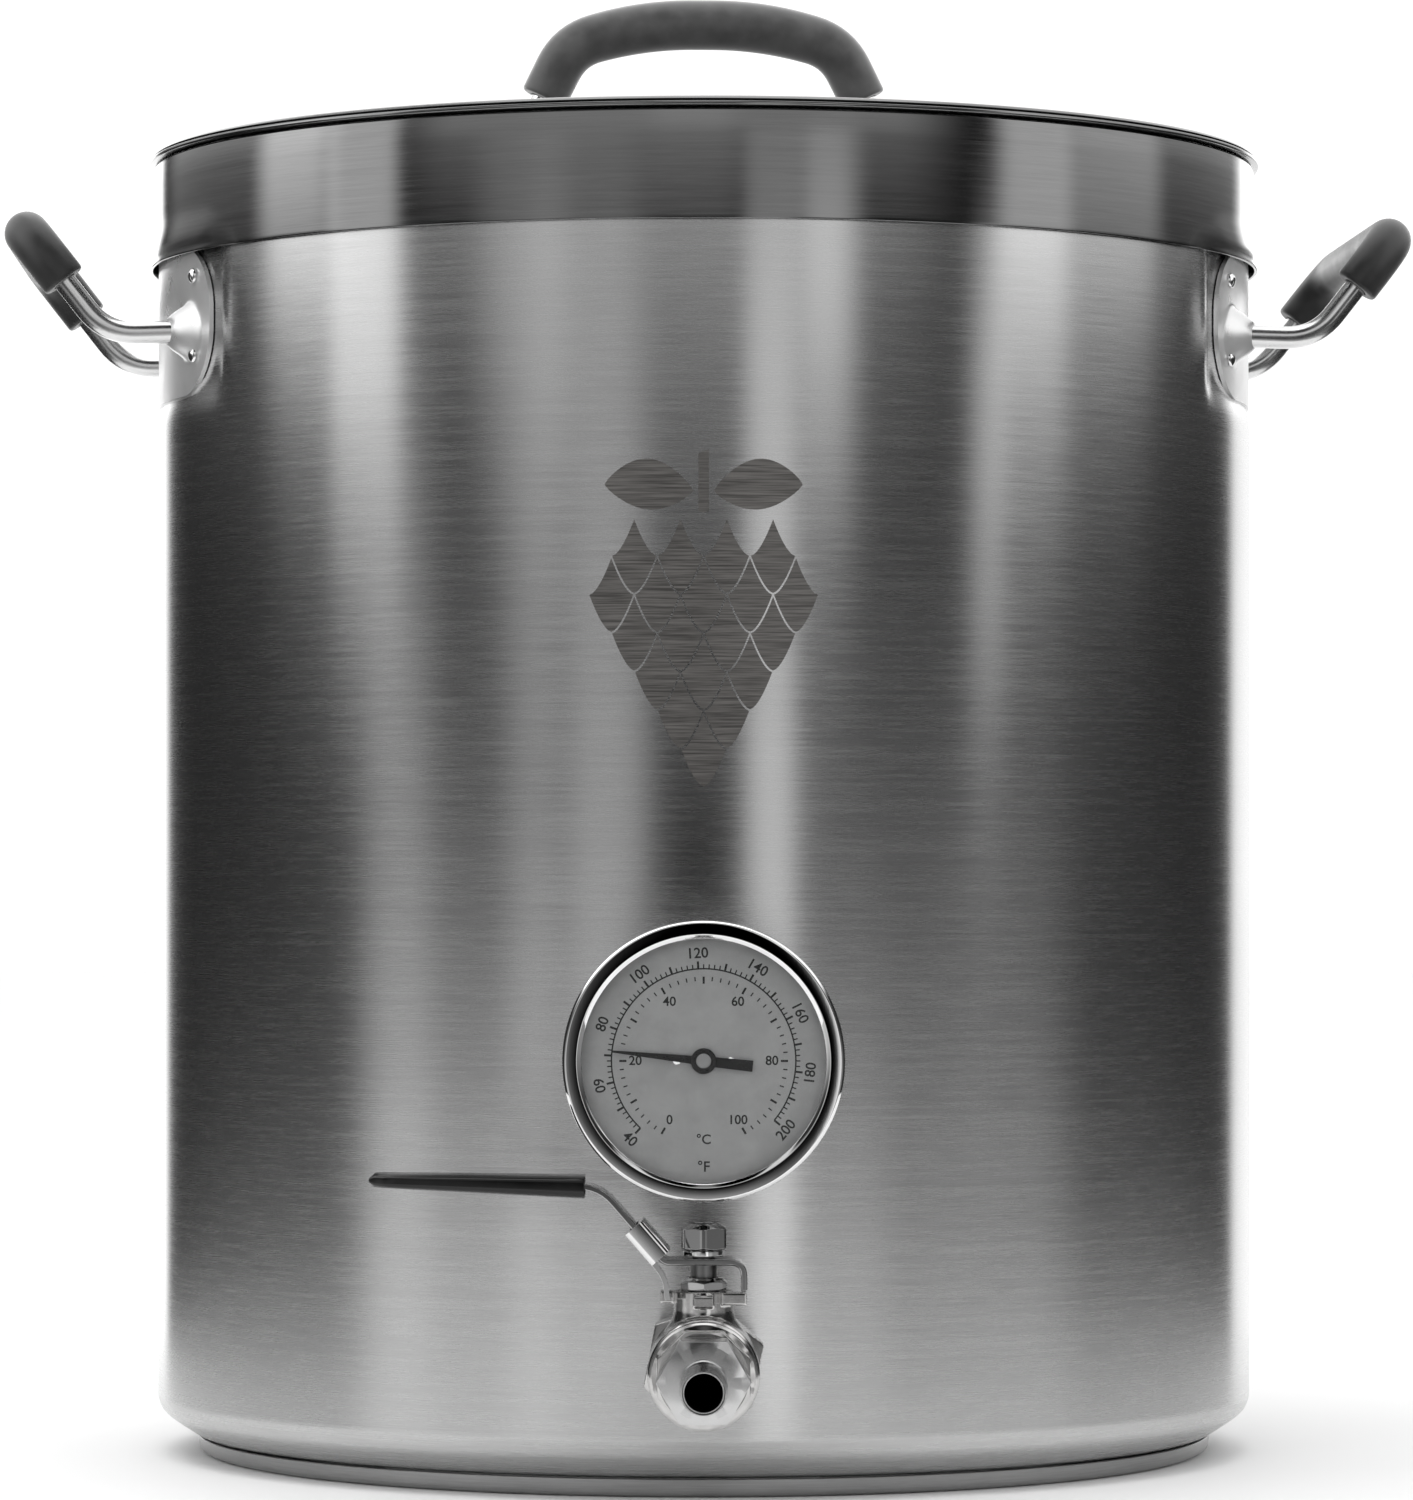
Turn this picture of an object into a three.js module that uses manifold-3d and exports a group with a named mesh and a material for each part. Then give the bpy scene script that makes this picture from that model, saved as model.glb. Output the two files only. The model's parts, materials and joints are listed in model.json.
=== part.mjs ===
// A stainless steel brew kettle with a ball valve, a dial thermometer, two loop handles and a lid.
//
// Millimetres, +Z up. The origin is the centre of the underside of the base. The valve and the
// thermometer face -Y, and +X is on the right of someone who looks at them.

import * as THREE from 'three';
import { mergeVertices } from 'three/addons/utils/BufferGeometryUtils.js';
import Module from 'manifold-3d';

const wasm = await Module();
wasm.setup();

// ---------------------------------------------------------------- driving dimensions

const GAP = 0.3; // clearance left between pieces that touch

const WALL_RADIUS = 180;
const WALL_THICKNESS = 1.2;
const KETTLE_HEIGHT = 422.5;
const WALL_SEGMENTS = 48;
const INNER_RADIUS = WALL_RADIUS - WALL_THICKNESS;

const BASE_THICKNESS = 5.7;
const BASE_RADIUS = 167;
const BOTTOM_THICKNESS = 1.2;

const LIP_RADIUS = 183.3;
const LIP_THICKNESS = 1.3;

const BAND_BOTTOM = 387.2;
const BAND_TOP = 420.3;
const BAND_THICKNESS = 1.1;
const BAND_RADIUS = WALL_RADIUS + GAP + BAND_THICKNESS;
const HOOD_TOP = 402;
const HOOD_PROUD = 2.2;

const HANDLE_TURN = 2.7; // degrees that the line through both handles is turned from the X axis
const PAD_DEPTH = 2;
const PAD_BOTTOM = 342;
const PAD_TOP = 396;
const PAD_MARGIN = 7;
const PLATE_HALF_WIDTH = 81;
const PLATE_BOTTOM = 342.2;
const PLATE_TOP = 389.8;
const PLATE_CORNER = 21;
const PLATE_THICKNESS = 1.5;
const PLATE_RADIUS = WALL_RADIUS - PAD_DEPTH + GAP;
const RIVET_SIDE = 70;
const RIVET_HEIGHTS = [379.9, 354.8];
const RIVET_SHANK = 1.6;
const RIVET_HEAD = 2.6;

const LEG_SIDE = 66;
const LEG_HEIGHT = 362.5;
const LEG_START = 168;
const HANDLE_ROD = 3.6;
const HANDLE_SLEEVE = 7.2;
const SLEEVE_SLACK = 1.5; // room between a rod and the bore of its sleeve
const HANDLE_REACH = 220;
const HANDLE_RISE = 395;
const BOSS_REACH = 174;

const LID_TOP = 424.2;
const LID_THICKNESS = 1.2;
const LID_RADIUS = 182.6;
const LID_PLUG = 177.2;
const LID_PLUG_DEPTH = 3.8;
const LID_HANDLE_HALF = 62;
const LID_HANDLE_SHOULDER = 42.5;
const LID_HANDLE_SHOULDER_HEIGHT = 463.7;
const LID_HANDLE_CREST = 20;
const LID_HANDLE_TOP = 470.6;
const LID_HANDLE_ROD = 4;
const LID_HANDLE_SLEEVE = 7.7;
const LID_SLEEVE_START = 0.5; // how far up each leg the sleeve starts
const LID_RIVET_SPREAD = 9;
const LID_RIVET_HOLE = 2.3;
const LID_FOOT_RADIUS = 6;
const LID_FOOT_THICKNESS = 1.6;

const DIAL_HEIGHT = 134.7;
const DIAL_FACE = 225; // distance of the dial's face from the kettle's axis
const BEZEL_RADIUS = 41.5;
const WINDOW_RADIUS = 35.9;
const PROBE_TIP = 103;
const PROBE_RADIUS = 3.2;
const POINTER_REACH = 27.1;
const POINTER_TAIL = 14.5;
const POINTER_REST = 84; // degrees anticlockwise from the top of the dial

const VALVE_HEIGHT = 43;
const VALVE_STEM = 218; // distance of the valve's stem from the kettle's axis
const BARREL_RADIUS = 16.5;
const BALL_RADIUS = 12.4;
const PORT_RADIUS = 7.5;
const THREAD_RADIUS = 10;
const BARB_TIP = 75; // distance of the barb's tip from the stem
const BARB_BORE = 5.5;
const LEVER_SHEET = 1.9;
const LEVER_WIDTH = 16;
const LEVER_PLATE = 32.5; // height of the middle of the lever's plate over the bore
const GRIP_START = 34.8;
const GRIP_END = 98.5;

// ---------------------------------------------------------------- materials

function metal(color, roughness) {
  return new THREE.MeshStandardMaterial({ color, roughness, metalness: 1 });
}

function plain(color, roughness) {
  return new THREE.MeshStandardMaterial({ color, roughness, metalness: 0 });
}

const brushedSteel = metal(0xb9b9b7, 0.38);
const polishedSteel = metal(0xc9c9c8, 0.12);
const baseSteel = metal(0x6f6f6e, 0.45);
const castSteel = metal(0xa9a8a5, 0.34);
const aluminium = metal(0xc4c6c8, 0.4);
const bimetal = metal(0xb08b52, 0.4);
const blackSilicone = plain(0x1c1c1d, 0.55);
const blackVinyl = plain(0x111112, 0.3);
const clearSilicone = plain(0xd8d8d4, 0.5);
const ptfe = plain(0xf0efea, 0.5);
const dialPaint = plain(0xb4b5b6, 0.6);
const pointerPaint = plain(0x121213, 0.5);
const glass = plain(0xffffff, 0.02);
glass.transparent = true;
glass.opacity = 0.3;

// ---------------------------------------------------------------- solids

const radians = THREE.MathUtils.degToRad;

function toManifold(geometry) {
  const bare = geometry.clone();
  bare.deleteAttribute('normal');
  bare.deleteAttribute('uv');
  const merged = mergeVertices(bare, 1e-4);
  return new wasm.Manifold(new wasm.Mesh({
    numProp: 3,
    vertProperties: merged.attributes.position.array,
    triVerts: new Uint32Array(merged.index.array),
  }));
}

function toGeometry(manifold) {
  const mesh = manifold.getMesh();
  const geometry = new THREE.BufferGeometry();
  geometry.setAttribute('position', new THREE.BufferAttribute(new Float32Array(mesh.vertProperties), 3));
  geometry.setIndex(new THREE.BufferAttribute(new Uint32Array(mesh.triVerts), 1));
  geometry.computeVertexNormals();
  return geometry;
}

function join(first, ...others) {
  return toGeometry(others.reduce((whole, next) => whole.add(toManifold(next)), toManifold(first)));
}

function cut(first, ...tools) {
  return toGeometry(tools.reduce((whole, next) => whole.subtract(toManifold(next)), toManifold(first)));
}

function common(first, second) {
  return toGeometry(toManifold(first).intersect(toManifold(second)));
}

// A profile of [radius, height] pairs turned about Z. It runs anticlockwise round the section:
// outwards along the bottom, up the outside and back in over the top.
function turned(profile, segments = 16) {
  const closed = profile[0][0] > 0 ? [...profile, profile[0]] : profile;
  const points = closed.map(([radius, height]) => new THREE.Vector2(radius, height));
  return new THREE.LatheGeometry(points, segments).rotateX(Math.PI / 2);
}

function disc(radius, bottom, top, segments = 16) {
  return turned([[0, bottom], [radius, bottom], [radius, top], [0, top]], segments);
}

function ring(inner, outer, bottom, top, segments = 16) {
  return turned([[inner, bottom], [outer, bottom], [outer, top], [inner, top]], segments);
}

// A prism of equal flats about Z, given by the distance across them. One corner points to -Y, and
// turn, in degrees, moves it on anticlockwise.
function prism(sides, acrossFlats, bottom, top, turn = 0) {
  return disc(acrossFlats / 2 / Math.cos(Math.PI / sides), bottom, top, sides).rotateZ(radians(turn));
}

function hexagon(acrossFlats, bottom, top, turn = 0) {
  return prism(6, acrossFlats, bottom, top, turn);
}

function hexagonNut(acrossFlats, bore, bottom, top) {
  return cut(hexagon(acrossFlats, bottom, top), disc(bore, bottom - 1, top + 1));
}

function block(width, depth, height, x, y, z) {
  return new THREE.BoxGeometry(width, depth, height).translate(x, y, z);
}

// The points of a line with its corners rounded, each replaced by a short curve of three chords
// that starts its own reach away from the corner.
function roundedLine(corners, reaches) {
  const points = [corners[0]];
  for (let i = 1; i < corners.length - 1; i += 1) {
    const corner = corners[i];
    const before = corners[i - 1].clone().sub(corner);
    const after = corners[i + 1].clone().sub(corner);
    const start = before.setLength(reaches[i - 1]).add(corner);
    const end = after.setLength(reaches[i - 1]).add(corner);
    for (const t of [0, 1 / 3, 2 / 3, 1]) {
      const a = start.clone().lerp(corner, t);
      const b = corner.clone().lerp(end, t);
      points.push(a.lerp(b, t));
    }
  }
  points.push(corners[corners.length - 1]);
  return points;
}

// The outline of a sheet of even thickness whose middle follows a line.
function sheetOutline(line, thickness) {
  const left = [];
  const right = [];
  line.forEach((point, i) => {
    const before = line[Math.max(i - 1, 0)];
    const after = line[Math.min(i + 1, line.length - 1)];
    const along = after.clone().sub(before).normalize();
    const side = new THREE.Vector2(-along.y, along.x).multiplyScalar(thickness / 2);
    left.push(point.clone().add(side));
    right.unshift(point.clone().sub(side));
  });
  return new THREE.Shape([...left, ...right]);
}

// A shape drawn in X and Z, given an even width along Y.
function extrudedAcross(shape, width) {
  const geometry = new THREE.ExtrudeGeometry(shape, { depth: width, bevelEnabled: false });
  return geometry.rotateX(Math.PI / 2).translate(0, width / 2, 0);
}

// A curve through the rounded corners of a bent rod.
class BentLine extends THREE.Curve {
  constructor(corners, radius) {
    super();
    this.path = new THREE.CurvePath();
    let start = corners[0];
    for (let i = 1; i < corners.length - 1; i += 1) {
      const corner = corners[i];
      const before = corners[i - 1].clone().sub(corner).setLength(radius).add(corner);
      const after = corners[i + 1].clone().sub(corner).setLength(radius).add(corner);
      this.path.add(new THREE.LineCurve3(start, before));
      this.path.add(new THREE.QuadraticBezierCurve3(before, corner, after));
      start = after;
    }
    this.path.add(new THREE.LineCurve3(start, corners[corners.length - 1]));
  }

  getPoint(t, target = new THREE.Vector3()) {
    return target.copy(this.path.getPointAt(t));
  }
}

class Helix extends THREE.Curve {
  constructor(radius, bottom, top, turns) {
    super();
    Object.assign(this, { radius, bottom, top, turns });
  }

  getPoint(t, target = new THREE.Vector3()) {
    const angle = 2 * Math.PI * this.turns * t;
    const height = THREE.MathUtils.lerp(this.bottom, this.top, t);
    return target.set(this.radius * Math.cos(angle), this.radius * Math.sin(angle), height);
  }
}

function polygon(radius, sides) {
  const points = [];
  for (let i = 0; i < sides; i += 1) {
    const angle = (2 * Math.PI * (i + 0.5)) / sides;
    points.push(new THREE.Vector2(radius * Math.cos(angle), radius * Math.sin(angle)));
  }
  return points;
}

function rodAlong(curve, radius, steps, sides = 8) {
  const section = new THREE.Shape(polygon(radius, sides));
  return new THREE.ExtrudeGeometry(section, { steps, extrudePath: curve, bevelEnabled: false });
}

function sleeveAlong(curve, inner, outer, steps, sides = 8) {
  const section = new THREE.Shape(polygon(outer, sides));
  section.holes.push(new THREE.Path(polygon(inner, sides)));
  return new THREE.ExtrudeGeometry(section, { steps, extrudePath: curve, bevelEnabled: false });
}

// Moves every point of a wall in or out by an amount that depends on its bearing from the nearer
// handle, in degrees, and on its height.
function pressed(geometry, depthAt) {
  const position = geometry.attributes.position;
  for (let i = 0; i < position.count; i += 1) {
    const x = position.getX(i);
    const y = position.getY(i);
    const radius = Math.hypot(x, y);
    if (radius > 1) {
      const bearing = THREE.MathUtils.radToDeg(Math.asin(Math.abs(y) / radius));
      const scale = 1 + depthAt(bearing, position.getZ(i)) / radius;
      position.setX(i, x * scale);
      position.setY(i, y * scale);
    }
  }
  return geometry;
}

function fade(value, full, none) {
  return THREE.MathUtils.clamp((none - value) / (none - full), 0, 1);
}

function piece(parent, name, geometry, material) {
  const mesh = new THREE.Mesh(geometry, material);
  mesh.name = name;
  parent.add(mesh);
  return mesh;
}

function frameAt(parent, position, rotation = [0, 0, 0]) {
  const group = new THREE.Group();
  group.position.set(...position);
  group.rotation.set(...rotation);
  parent.add(group);
  return group;
}

const kettle = new THREE.Group();
kettle.name = 'brew_kettle';

// The wall, band and lid are all turned with the handles, so that their facets lie in phase.
const turnedFrame = frameAt(kettle, [0, 0, 0], [0, 0, radians(HANDLE_TURN)]);

// ---------------------------------------------------------------- vessel

const BOTTOM = BASE_THICKNESS + GAP;

function vesselBlank() {
  const inside = INNER_RADIUS;
  const floor = BOTTOM + BOTTOM_THICKNESS;
  return turned([
    [0, BOTTOM],
    [BASE_RADIUS, BOTTOM],
    [WALL_RADIUS - 1.6, 13.6],
    [WALL_RADIUS, 17.5],
    [WALL_RADIUS, PAD_BOTTOM - PAD_MARGIN],
    [WALL_RADIUS, PAD_BOTTOM],
    [WALL_RADIUS, PAD_TOP],
    [WALL_RADIUS, BAND_TOP + GAP],
    [LIP_RADIUS, KETTLE_HEIGHT - LIP_THICKNESS],
    [LIP_RADIUS, KETTLE_HEIGHT],
    [inside + LIP_THICKNESS, KETTLE_HEIGHT],
    [inside, KETTLE_HEIGHT - LIP_THICKNESS],
    [inside, PAD_TOP],
    [inside, PAD_BOTTOM],
    [inside, PAD_BOTTOM - PAD_MARGIN],
    [inside, 18],
    [inside - 1.5, 14.6],
    [BASE_RADIUS - 0.6, floor],
    [0, floor],
  ], WALL_SEGMENTS);
}

function padDepth(bearing, height) {
  const across = fade(bearing, 30, 37.5);
  const up = height > PAD_TOP
    ? fade(height, PAD_TOP, BAND_TOP + GAP)
    : 1 - fade(height, PAD_BOTTOM - PAD_MARGIN, PAD_BOTTOM);
  return -PAD_DEPTH * across * up;
}

// A radial drill through the wall on the side of one handle, in the handles' frame.
function rivetDrill(side, sign, height) {
  const angle = Math.asin((sign * RIVET_SIDE) / WALL_RADIUS);
  return disc(RIVET_SHANK + GAP, 170, 190, 8)
    .rotateY(Math.PI / 2)
    .rotateZ(side > 0 ? angle : Math.PI + angle)
    .translate(0, 0, height);
}

function allRivetDrills() {
  const drills = [];
  for (const side of [1, -1]) {
    for (const sign of [1, -1]) {
      for (const height of RIVET_HEIGHTS) drills.push(rivetDrill(side, sign, height));
    }
  }
  return drills;
}

// A drill through the front of the wall, in the handles' frame.
function frontDrill(radius, height) {
  return disc(radius, 165, 195)
    .rotateX(Math.PI / 2)
    .translate(0, 0, height)
    .rotateZ(-radians(HANDLE_TURN));
}

function vessel() {
  return cut(
    pressed(vesselBlank(), padDepth),
    ...allRivetDrills(),
    frontDrill(THREAD_RADIUS + 2 * GAP, VALVE_HEIGHT),
    frontDrill(THREAD_RADIUS + 2 * GAP, DIAL_HEIGHT),
  );
}

function hoodDepth(bearing, height) {
  return HOOD_PROUD * fade(bearing, 12, 37.5) * fade(height, BAND_BOTTOM, HOOD_TOP);
}

function rimBand() {
  const inside = WALL_RADIUS + GAP;
  const blank = turned([
    [inside, BAND_BOTTOM],
    [BAND_RADIUS, BAND_BOTTOM],
    [BAND_RADIUS, (BAND_BOTTOM + HOOD_TOP) / 2],
    [BAND_RADIUS, HOOD_TOP],
    [BAND_RADIUS, BAND_TOP],
    [inside, BAND_TOP],
    [inside, HOOD_TOP],
    [inside, (BAND_BOTTOM + HOOD_TOP) / 2],
  ], WALL_SEGMENTS);
  return pressed(blank, hoodDepth);
}

function baseCap() {
  const skin = 0.8;
  return turned([
    [0, 0],
    [BASE_RADIUS - 3, 0],
    [BASE_RADIUS - 0.6, 1.2],
    [BASE_RADIUS, BASE_THICKNESS],
    [BASE_RADIUS - skin, BASE_THICKNESS],
    [BASE_RADIUS - 0.6 - skin, 1.4],
    [BASE_RADIUS - 3.4, skin],
    [0, skin],
  ], 36);
}

piece(turnedFrame, 'kettle_body', vessel(), brushedSteel);
piece(turnedFrame, 'rim_band', rimBand(), polishedSteel);
piece(turnedFrame, 'base_cap', baseCap(), baseSteel);
piece(turnedFrame, 'base_core', disc(BASE_RADIUS - 4, 1.2, BASE_THICKNESS, 36), aluminium);

// ---------------------------------------------------------------- side handles

// Each handle is drawn on the +X side: X points away from the kettle and Y runs along the wall.

function platePanel() {
  const half = PLATE_HALF_WIDTH;
  const corner = PLATE_CORNER;
  const outline = new THREE.Shape();
  outline.moveTo(-half + corner, PLATE_BOTTOM);
  outline.lineTo(half - corner, PLATE_BOTTOM);
  outline.absarc(half - corner, PLATE_BOTTOM + corner, corner, -Math.PI / 2, 0);
  outline.absarc(half - corner, PLATE_TOP - corner, corner, 0, Math.PI / 2);
  outline.lineTo(-half + corner, PLATE_TOP);
  outline.absarc(-half + corner, PLATE_TOP - corner, corner, Math.PI / 2, Math.PI);
  outline.absarc(-half + corner, PLATE_BOTTOM + corner, corner, Math.PI, 1.5 * Math.PI);
  return new THREE.ExtrudeGeometry(outline, { depth: 60, bevelEnabled: false, curveSegments: 3 })
    .rotateX(Math.PI / 2)
    .rotateZ(Math.PI / 2)
    .translate(140, 0, 0);
}

function alongX(geometry, y, z) {
  return geometry.rotateY(Math.PI / 2).translate(0, y, z);
}

function handlePlate() {
  const shell = ring(PLATE_RADIUS, PLATE_RADIUS + PLATE_THICKNESS, 340, 395, WALL_SEGMENTS);
  const bossCore = disc(PLATE_RADIUS, 330, 400, WALL_SEGMENTS);
  let plate = common(shell, platePanel());
  for (const sign of [1, -1]) {
    const cone = turned([[0, 150], [5.8, 150], [5.8, 165], [4.8, BOSS_REACH], [0, BOSS_REACH]], 12);
    const boss = cut(alongX(cone, sign * LEG_SIDE, LEG_HEIGHT), bossCore);
    plate = join(plate, boss);
  }
  const legDrills = [1, -1].map((sign) => {
    return alongX(disc(HANDLE_ROD + 0.5, 150, 180, 8), sign * LEG_SIDE, LEG_HEIGHT);
  });
  const rivetDrills = [1, -1].flatMap((sign) => {
    return RIVET_HEIGHTS.map((height) => rivetDrill(1, sign, height));
  });
  return cut(plate, ...legDrills, ...rivetDrills);
}

// The corners of the handle's rod from one leg to the other, from a given point of the legs on.
function handleCorners(legPoints) {
  const bend = [
    new THREE.Vector3(191, LEG_SIDE, LEG_HEIGHT - 1),
    new THREE.Vector3(HANDLE_REACH, LEG_SIDE, HANDLE_RISE),
  ];
  const oneSide = [...legPoints(...bend), bend[1]];
  const otherSide = oneSide.map((point) => point.clone().setY(-point.y)).reverse();
  return [...oneSide, ...otherSide];
}

function handleRod() {
  const start = new THREE.Vector3(LEG_START, LEG_SIDE, LEG_HEIGHT);
  return new BentLine(handleCorners((bottom) => [start, bottom]), 17);
}

function handleSleeve() {
  const share = 0.45; // how far up the leg, from its bend to the crossbar, the sleeve starts
  return new BentLine(handleCorners((bottom, top) => [bottom.clone().lerp(top, share)]), 17);
}

function rivet() {
  const outside = PLATE_RADIUS + PLATE_THICKNESS + GAP;
  const inside = INNER_RADIUS - PAD_DEPTH - 2 * GAP;
  return turned([
    [0, inside - 1.2],
    [RIVET_HEAD - 0.6, inside - 1.2],
    [RIVET_HEAD, inside],
    [RIVET_SHANK, inside],
    [RIVET_SHANK, outside],
    [RIVET_HEAD, outside],
    [RIVET_HEAD - 1, outside + 1.4],
    [0, outside + 1.9],
  ], 8);
}

function sideHandle(prefix, turn) {
  const frame = frameAt(kettle, [0, 0, 0], [0, 0, radians(turn)]);
  piece(frame, `${prefix}_handle_plate`, handlePlate(), polishedSteel);
  piece(frame, `${prefix}_handle_rod`, rodAlong(handleRod(), HANDLE_ROD, 24), polishedSteel);
  const sleeve = sleeveAlong(handleSleeve(), HANDLE_ROD + SLEEVE_SLACK, HANDLE_SLEEVE, 18);
  piece(frame, `${prefix}_handle_grip`, sleeve, blackSilicone);
  const places = [1, -1].flatMap((sign) => RIVET_HEIGHTS.map((height) => [sign, height]));
  places.forEach(([sign, height], index) => {
    const mesh = piece(frame, `${prefix}_handle_rivet_${index + 1}`, rivet(), polishedSteel);
    const bearing = Math.asin((sign * RIVET_SIDE) / WALL_RADIUS);
    mesh.position.set(0, 0, height);
    mesh.rotation.set(0, Math.PI / 2, bearing, 'ZYX');
  });
}

sideHandle('right', HANDLE_TURN);
sideHandle('left', HANDLE_TURN + 180);

// ---------------------------------------------------------------- lid

const LID_CROWN = LID_TOP + 1.5;
const LID_FOOT = LID_CROWN + GAP;
const lidFrame = frameAt(kettle, [0, 0, 0], [0, 0, radians(HANDLE_TURN)]);

function lidBlank() {
  const t = LID_THICKNESS;
  return turned([
    [0, LID_CROWN - t],
    [LID_PLUG - 12, LID_CROWN - t],
    [LID_PLUG - 8 - t, LID_TOP - t],
    [LID_PLUG - t, LID_TOP - t - LID_PLUG_DEPTH],
    [LID_PLUG, LID_TOP - t - LID_PLUG_DEPTH],
    [LID_PLUG, LID_TOP - t],
    [LID_RADIUS, LID_TOP - t],
    [LID_RADIUS, LID_TOP],
    [LID_PLUG - 8, LID_TOP],
    [LID_PLUG - 12, LID_CROWN],
    [0, LID_CROWN],
  ], WALL_SEGMENTS);
}

const lidRivetPlaces = [1, -1].flatMap((side) => {
  return [1, -1].map((sign) => [side * LID_HANDLE_HALF, sign * LID_RIVET_SPREAD]);
});

function lidShell() {
  const drills = lidRivetPlaces.map(([x, y]) => {
    return disc(LID_RIVET_HOLE, LID_CROWN - 5, LID_CROWN + 5, 8).translate(x, y, 0);
  });
  return cut(lidBlank(), ...drills);
}

// The arch of the lid's handle, in the plane X-Z, from one leaning leg to the other. It starts a
// share of the way up each leg.
function lidArch(share) {
  const foot = new THREE.Vector3(LID_HANDLE_HALF, 0, LID_FOOT + 2);
  const shoulder = new THREE.Vector3(LID_HANDLE_SHOULDER, 0, LID_HANDLE_SHOULDER_HEIGHT);
  const crest = new THREE.Vector3(LID_HANDLE_CREST, 0, LID_HANDLE_TOP - 0.7);
  const half = [foot.lerp(shoulder, share), shoulder, crest];
  const other = half.map((point) => new THREE.Vector3(-point.x, 0, point.z)).reverse();
  return new BentLine([...half, ...other], 9);
}

function lidHandleRod() {
  const feet = [1, -1].map((side) => {
    const shape = new THREE.Shape();
    shape.moveTo(-LID_FOOT_RADIUS, -LID_RIVET_SPREAD);
    shape.absarc(0, -LID_RIVET_SPREAD, LID_FOOT_RADIUS, Math.PI, 2 * Math.PI);
    shape.absarc(0, LID_RIVET_SPREAD, LID_FOOT_RADIUS, 0, Math.PI);
    for (const sign of [1, -1]) {
      const hole = new THREE.Path();
      hole.absarc(0, sign * LID_RIVET_SPREAD, LID_RIVET_HOLE, 0, 2 * Math.PI, true);
      shape.holes.push(hole);
    }
    const settings = { depth: LID_FOOT_THICKNESS, bevelEnabled: false, curveSegments: 3 };
    return new THREE.ExtrudeGeometry(shape, settings).translate(side * LID_HANDLE_HALF, 0, LID_FOOT);
  });
  return join(rodAlong(lidArch(0), LID_HANDLE_ROD, 18), ...feet);
}

function lidHandleGrip() {
  const arch = lidArch(LID_SLEEVE_START);
  return sleeveAlong(arch, LID_HANDLE_ROD + SLEEVE_SLACK, LID_HANDLE_SLEEVE, 14);
}

function lidRivet() {
  const under = LID_CROWN - LID_THICKNESS - GAP;
  const over = LID_FOOT + LID_FOOT_THICKNESS + GAP;
  return turned([
    [0, under - 1.2], [3.4, under - 1.2], [3.6, under], [2, under],
    [2, over], [3.8, over], [2.8, over + 1.3], [0, over + 1.8],
  ], 8);
}

piece(lidFrame, 'lid_shell', lidShell(), polishedSteel);
piece(lidFrame, 'lid_handle_rod', lidHandleRod(), polishedSteel);
piece(lidFrame, 'lid_handle_grip', lidHandleGrip(), blackSilicone);
lidRivetPlaces.forEach(([x, y], index) => {
  piece(lidFrame, `lid_rivet_${index + 1}`, lidRivet(), polishedSteel).position.set(x, y, 0);
});

// ---------------------------------------------------------------- thermometer

// Z points out of the wall and is the distance from the kettle's axis; X and Y lie in the dial.

const thermometer = frameAt(kettle, [0, 0, DIAL_HEIGHT], [Math.PI / 2, 0, 0]);

const CASE_BACK = DIAL_FACE - 11;
const WALL_OUT = WALL_RADIUS + GAP;
const WALL_IN = INNER_RADIUS - 5 * GAP;
const SHANK = THREAD_RADIUS + 0.3;
const NUT_BORE = SHANK + 0.3;
const SEAL_OUT = WALL_OUT + 4.3; // where the nut outside the wall starts, over its seal
const DIAL_SCREW_SIDE = 7.9;

const PROBE_HOLE = PROBE_RADIUS + 0.4;
const CASE_RADIUS = 39.2;
const CASE_SKIN = 0.8;
const LENS_RADIUS = 38.9;

function caseCup() {
  return turned([
    [PROBE_HOLE, CASE_BACK],
    [CASE_RADIUS - 2.2, CASE_BACK],
    [CASE_RADIUS, CASE_BACK + 2],
    [CASE_RADIUS, DIAL_FACE + 1],
    [CASE_RADIUS - CASE_SKIN, DIAL_FACE + 1],
    [CASE_RADIUS - CASE_SKIN, CASE_BACK + 2.3],
    [CASE_RADIUS - 2.5, CASE_BACK + CASE_SKIN],
    [PROBE_HOLE, CASE_BACK + CASE_SKIN],
  ], 28);
}

function bezel() {
  const front = DIAL_FACE + 6;
  const inside = CASE_RADIUS + 0.4;
  return turned([
    [inside, DIAL_FACE - 7.5],
    [BEZEL_RADIUS - 1.1, DIAL_FACE - 7.5],
    [BEZEL_RADIUS, DIAL_FACE - 6],
    [BEZEL_RADIUS, front - 1.5],
    [BEZEL_RADIUS - 1.2, front],
    [WINDOW_RADIUS + 1.1, front],
    [WINDOW_RADIUS, front - 0.8],
    [WINDOW_RADIUS, front - 1.3],
    [inside, front - 1.3],
  ], 28);
}

function dialPlate() {
  const shape = new THREE.Shape().absarc(0, 0, 38, 0, 2 * Math.PI);
  shape.holes.push(new THREE.Path().absarc(0, 0, 1.6, 0, 2 * Math.PI, true));
  for (const side of [1, -1]) {
    shape.holes.push(new THREE.Path().absarc(side * DIAL_SCREW_SIDE, 0, 0.9, 0, 2 * Math.PI, true));
  }
  return new THREE.ExtrudeGeometry(shape, { depth: 0.5, bevelEnabled: false, curveSegments: 12 })
    .translate(0, 0, DIAL_FACE - 0.5);
}

function lens() {
  return disc(LENS_RADIUS, DIAL_FACE + 2.5, DIAL_FACE + 4.4, 28);
}

function gasket() {
  return ring(LENS_RADIUS - 2.1, LENS_RADIUS, DIAL_FACE + 1.3, DIAL_FACE + 2.2, 28);
}

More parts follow.
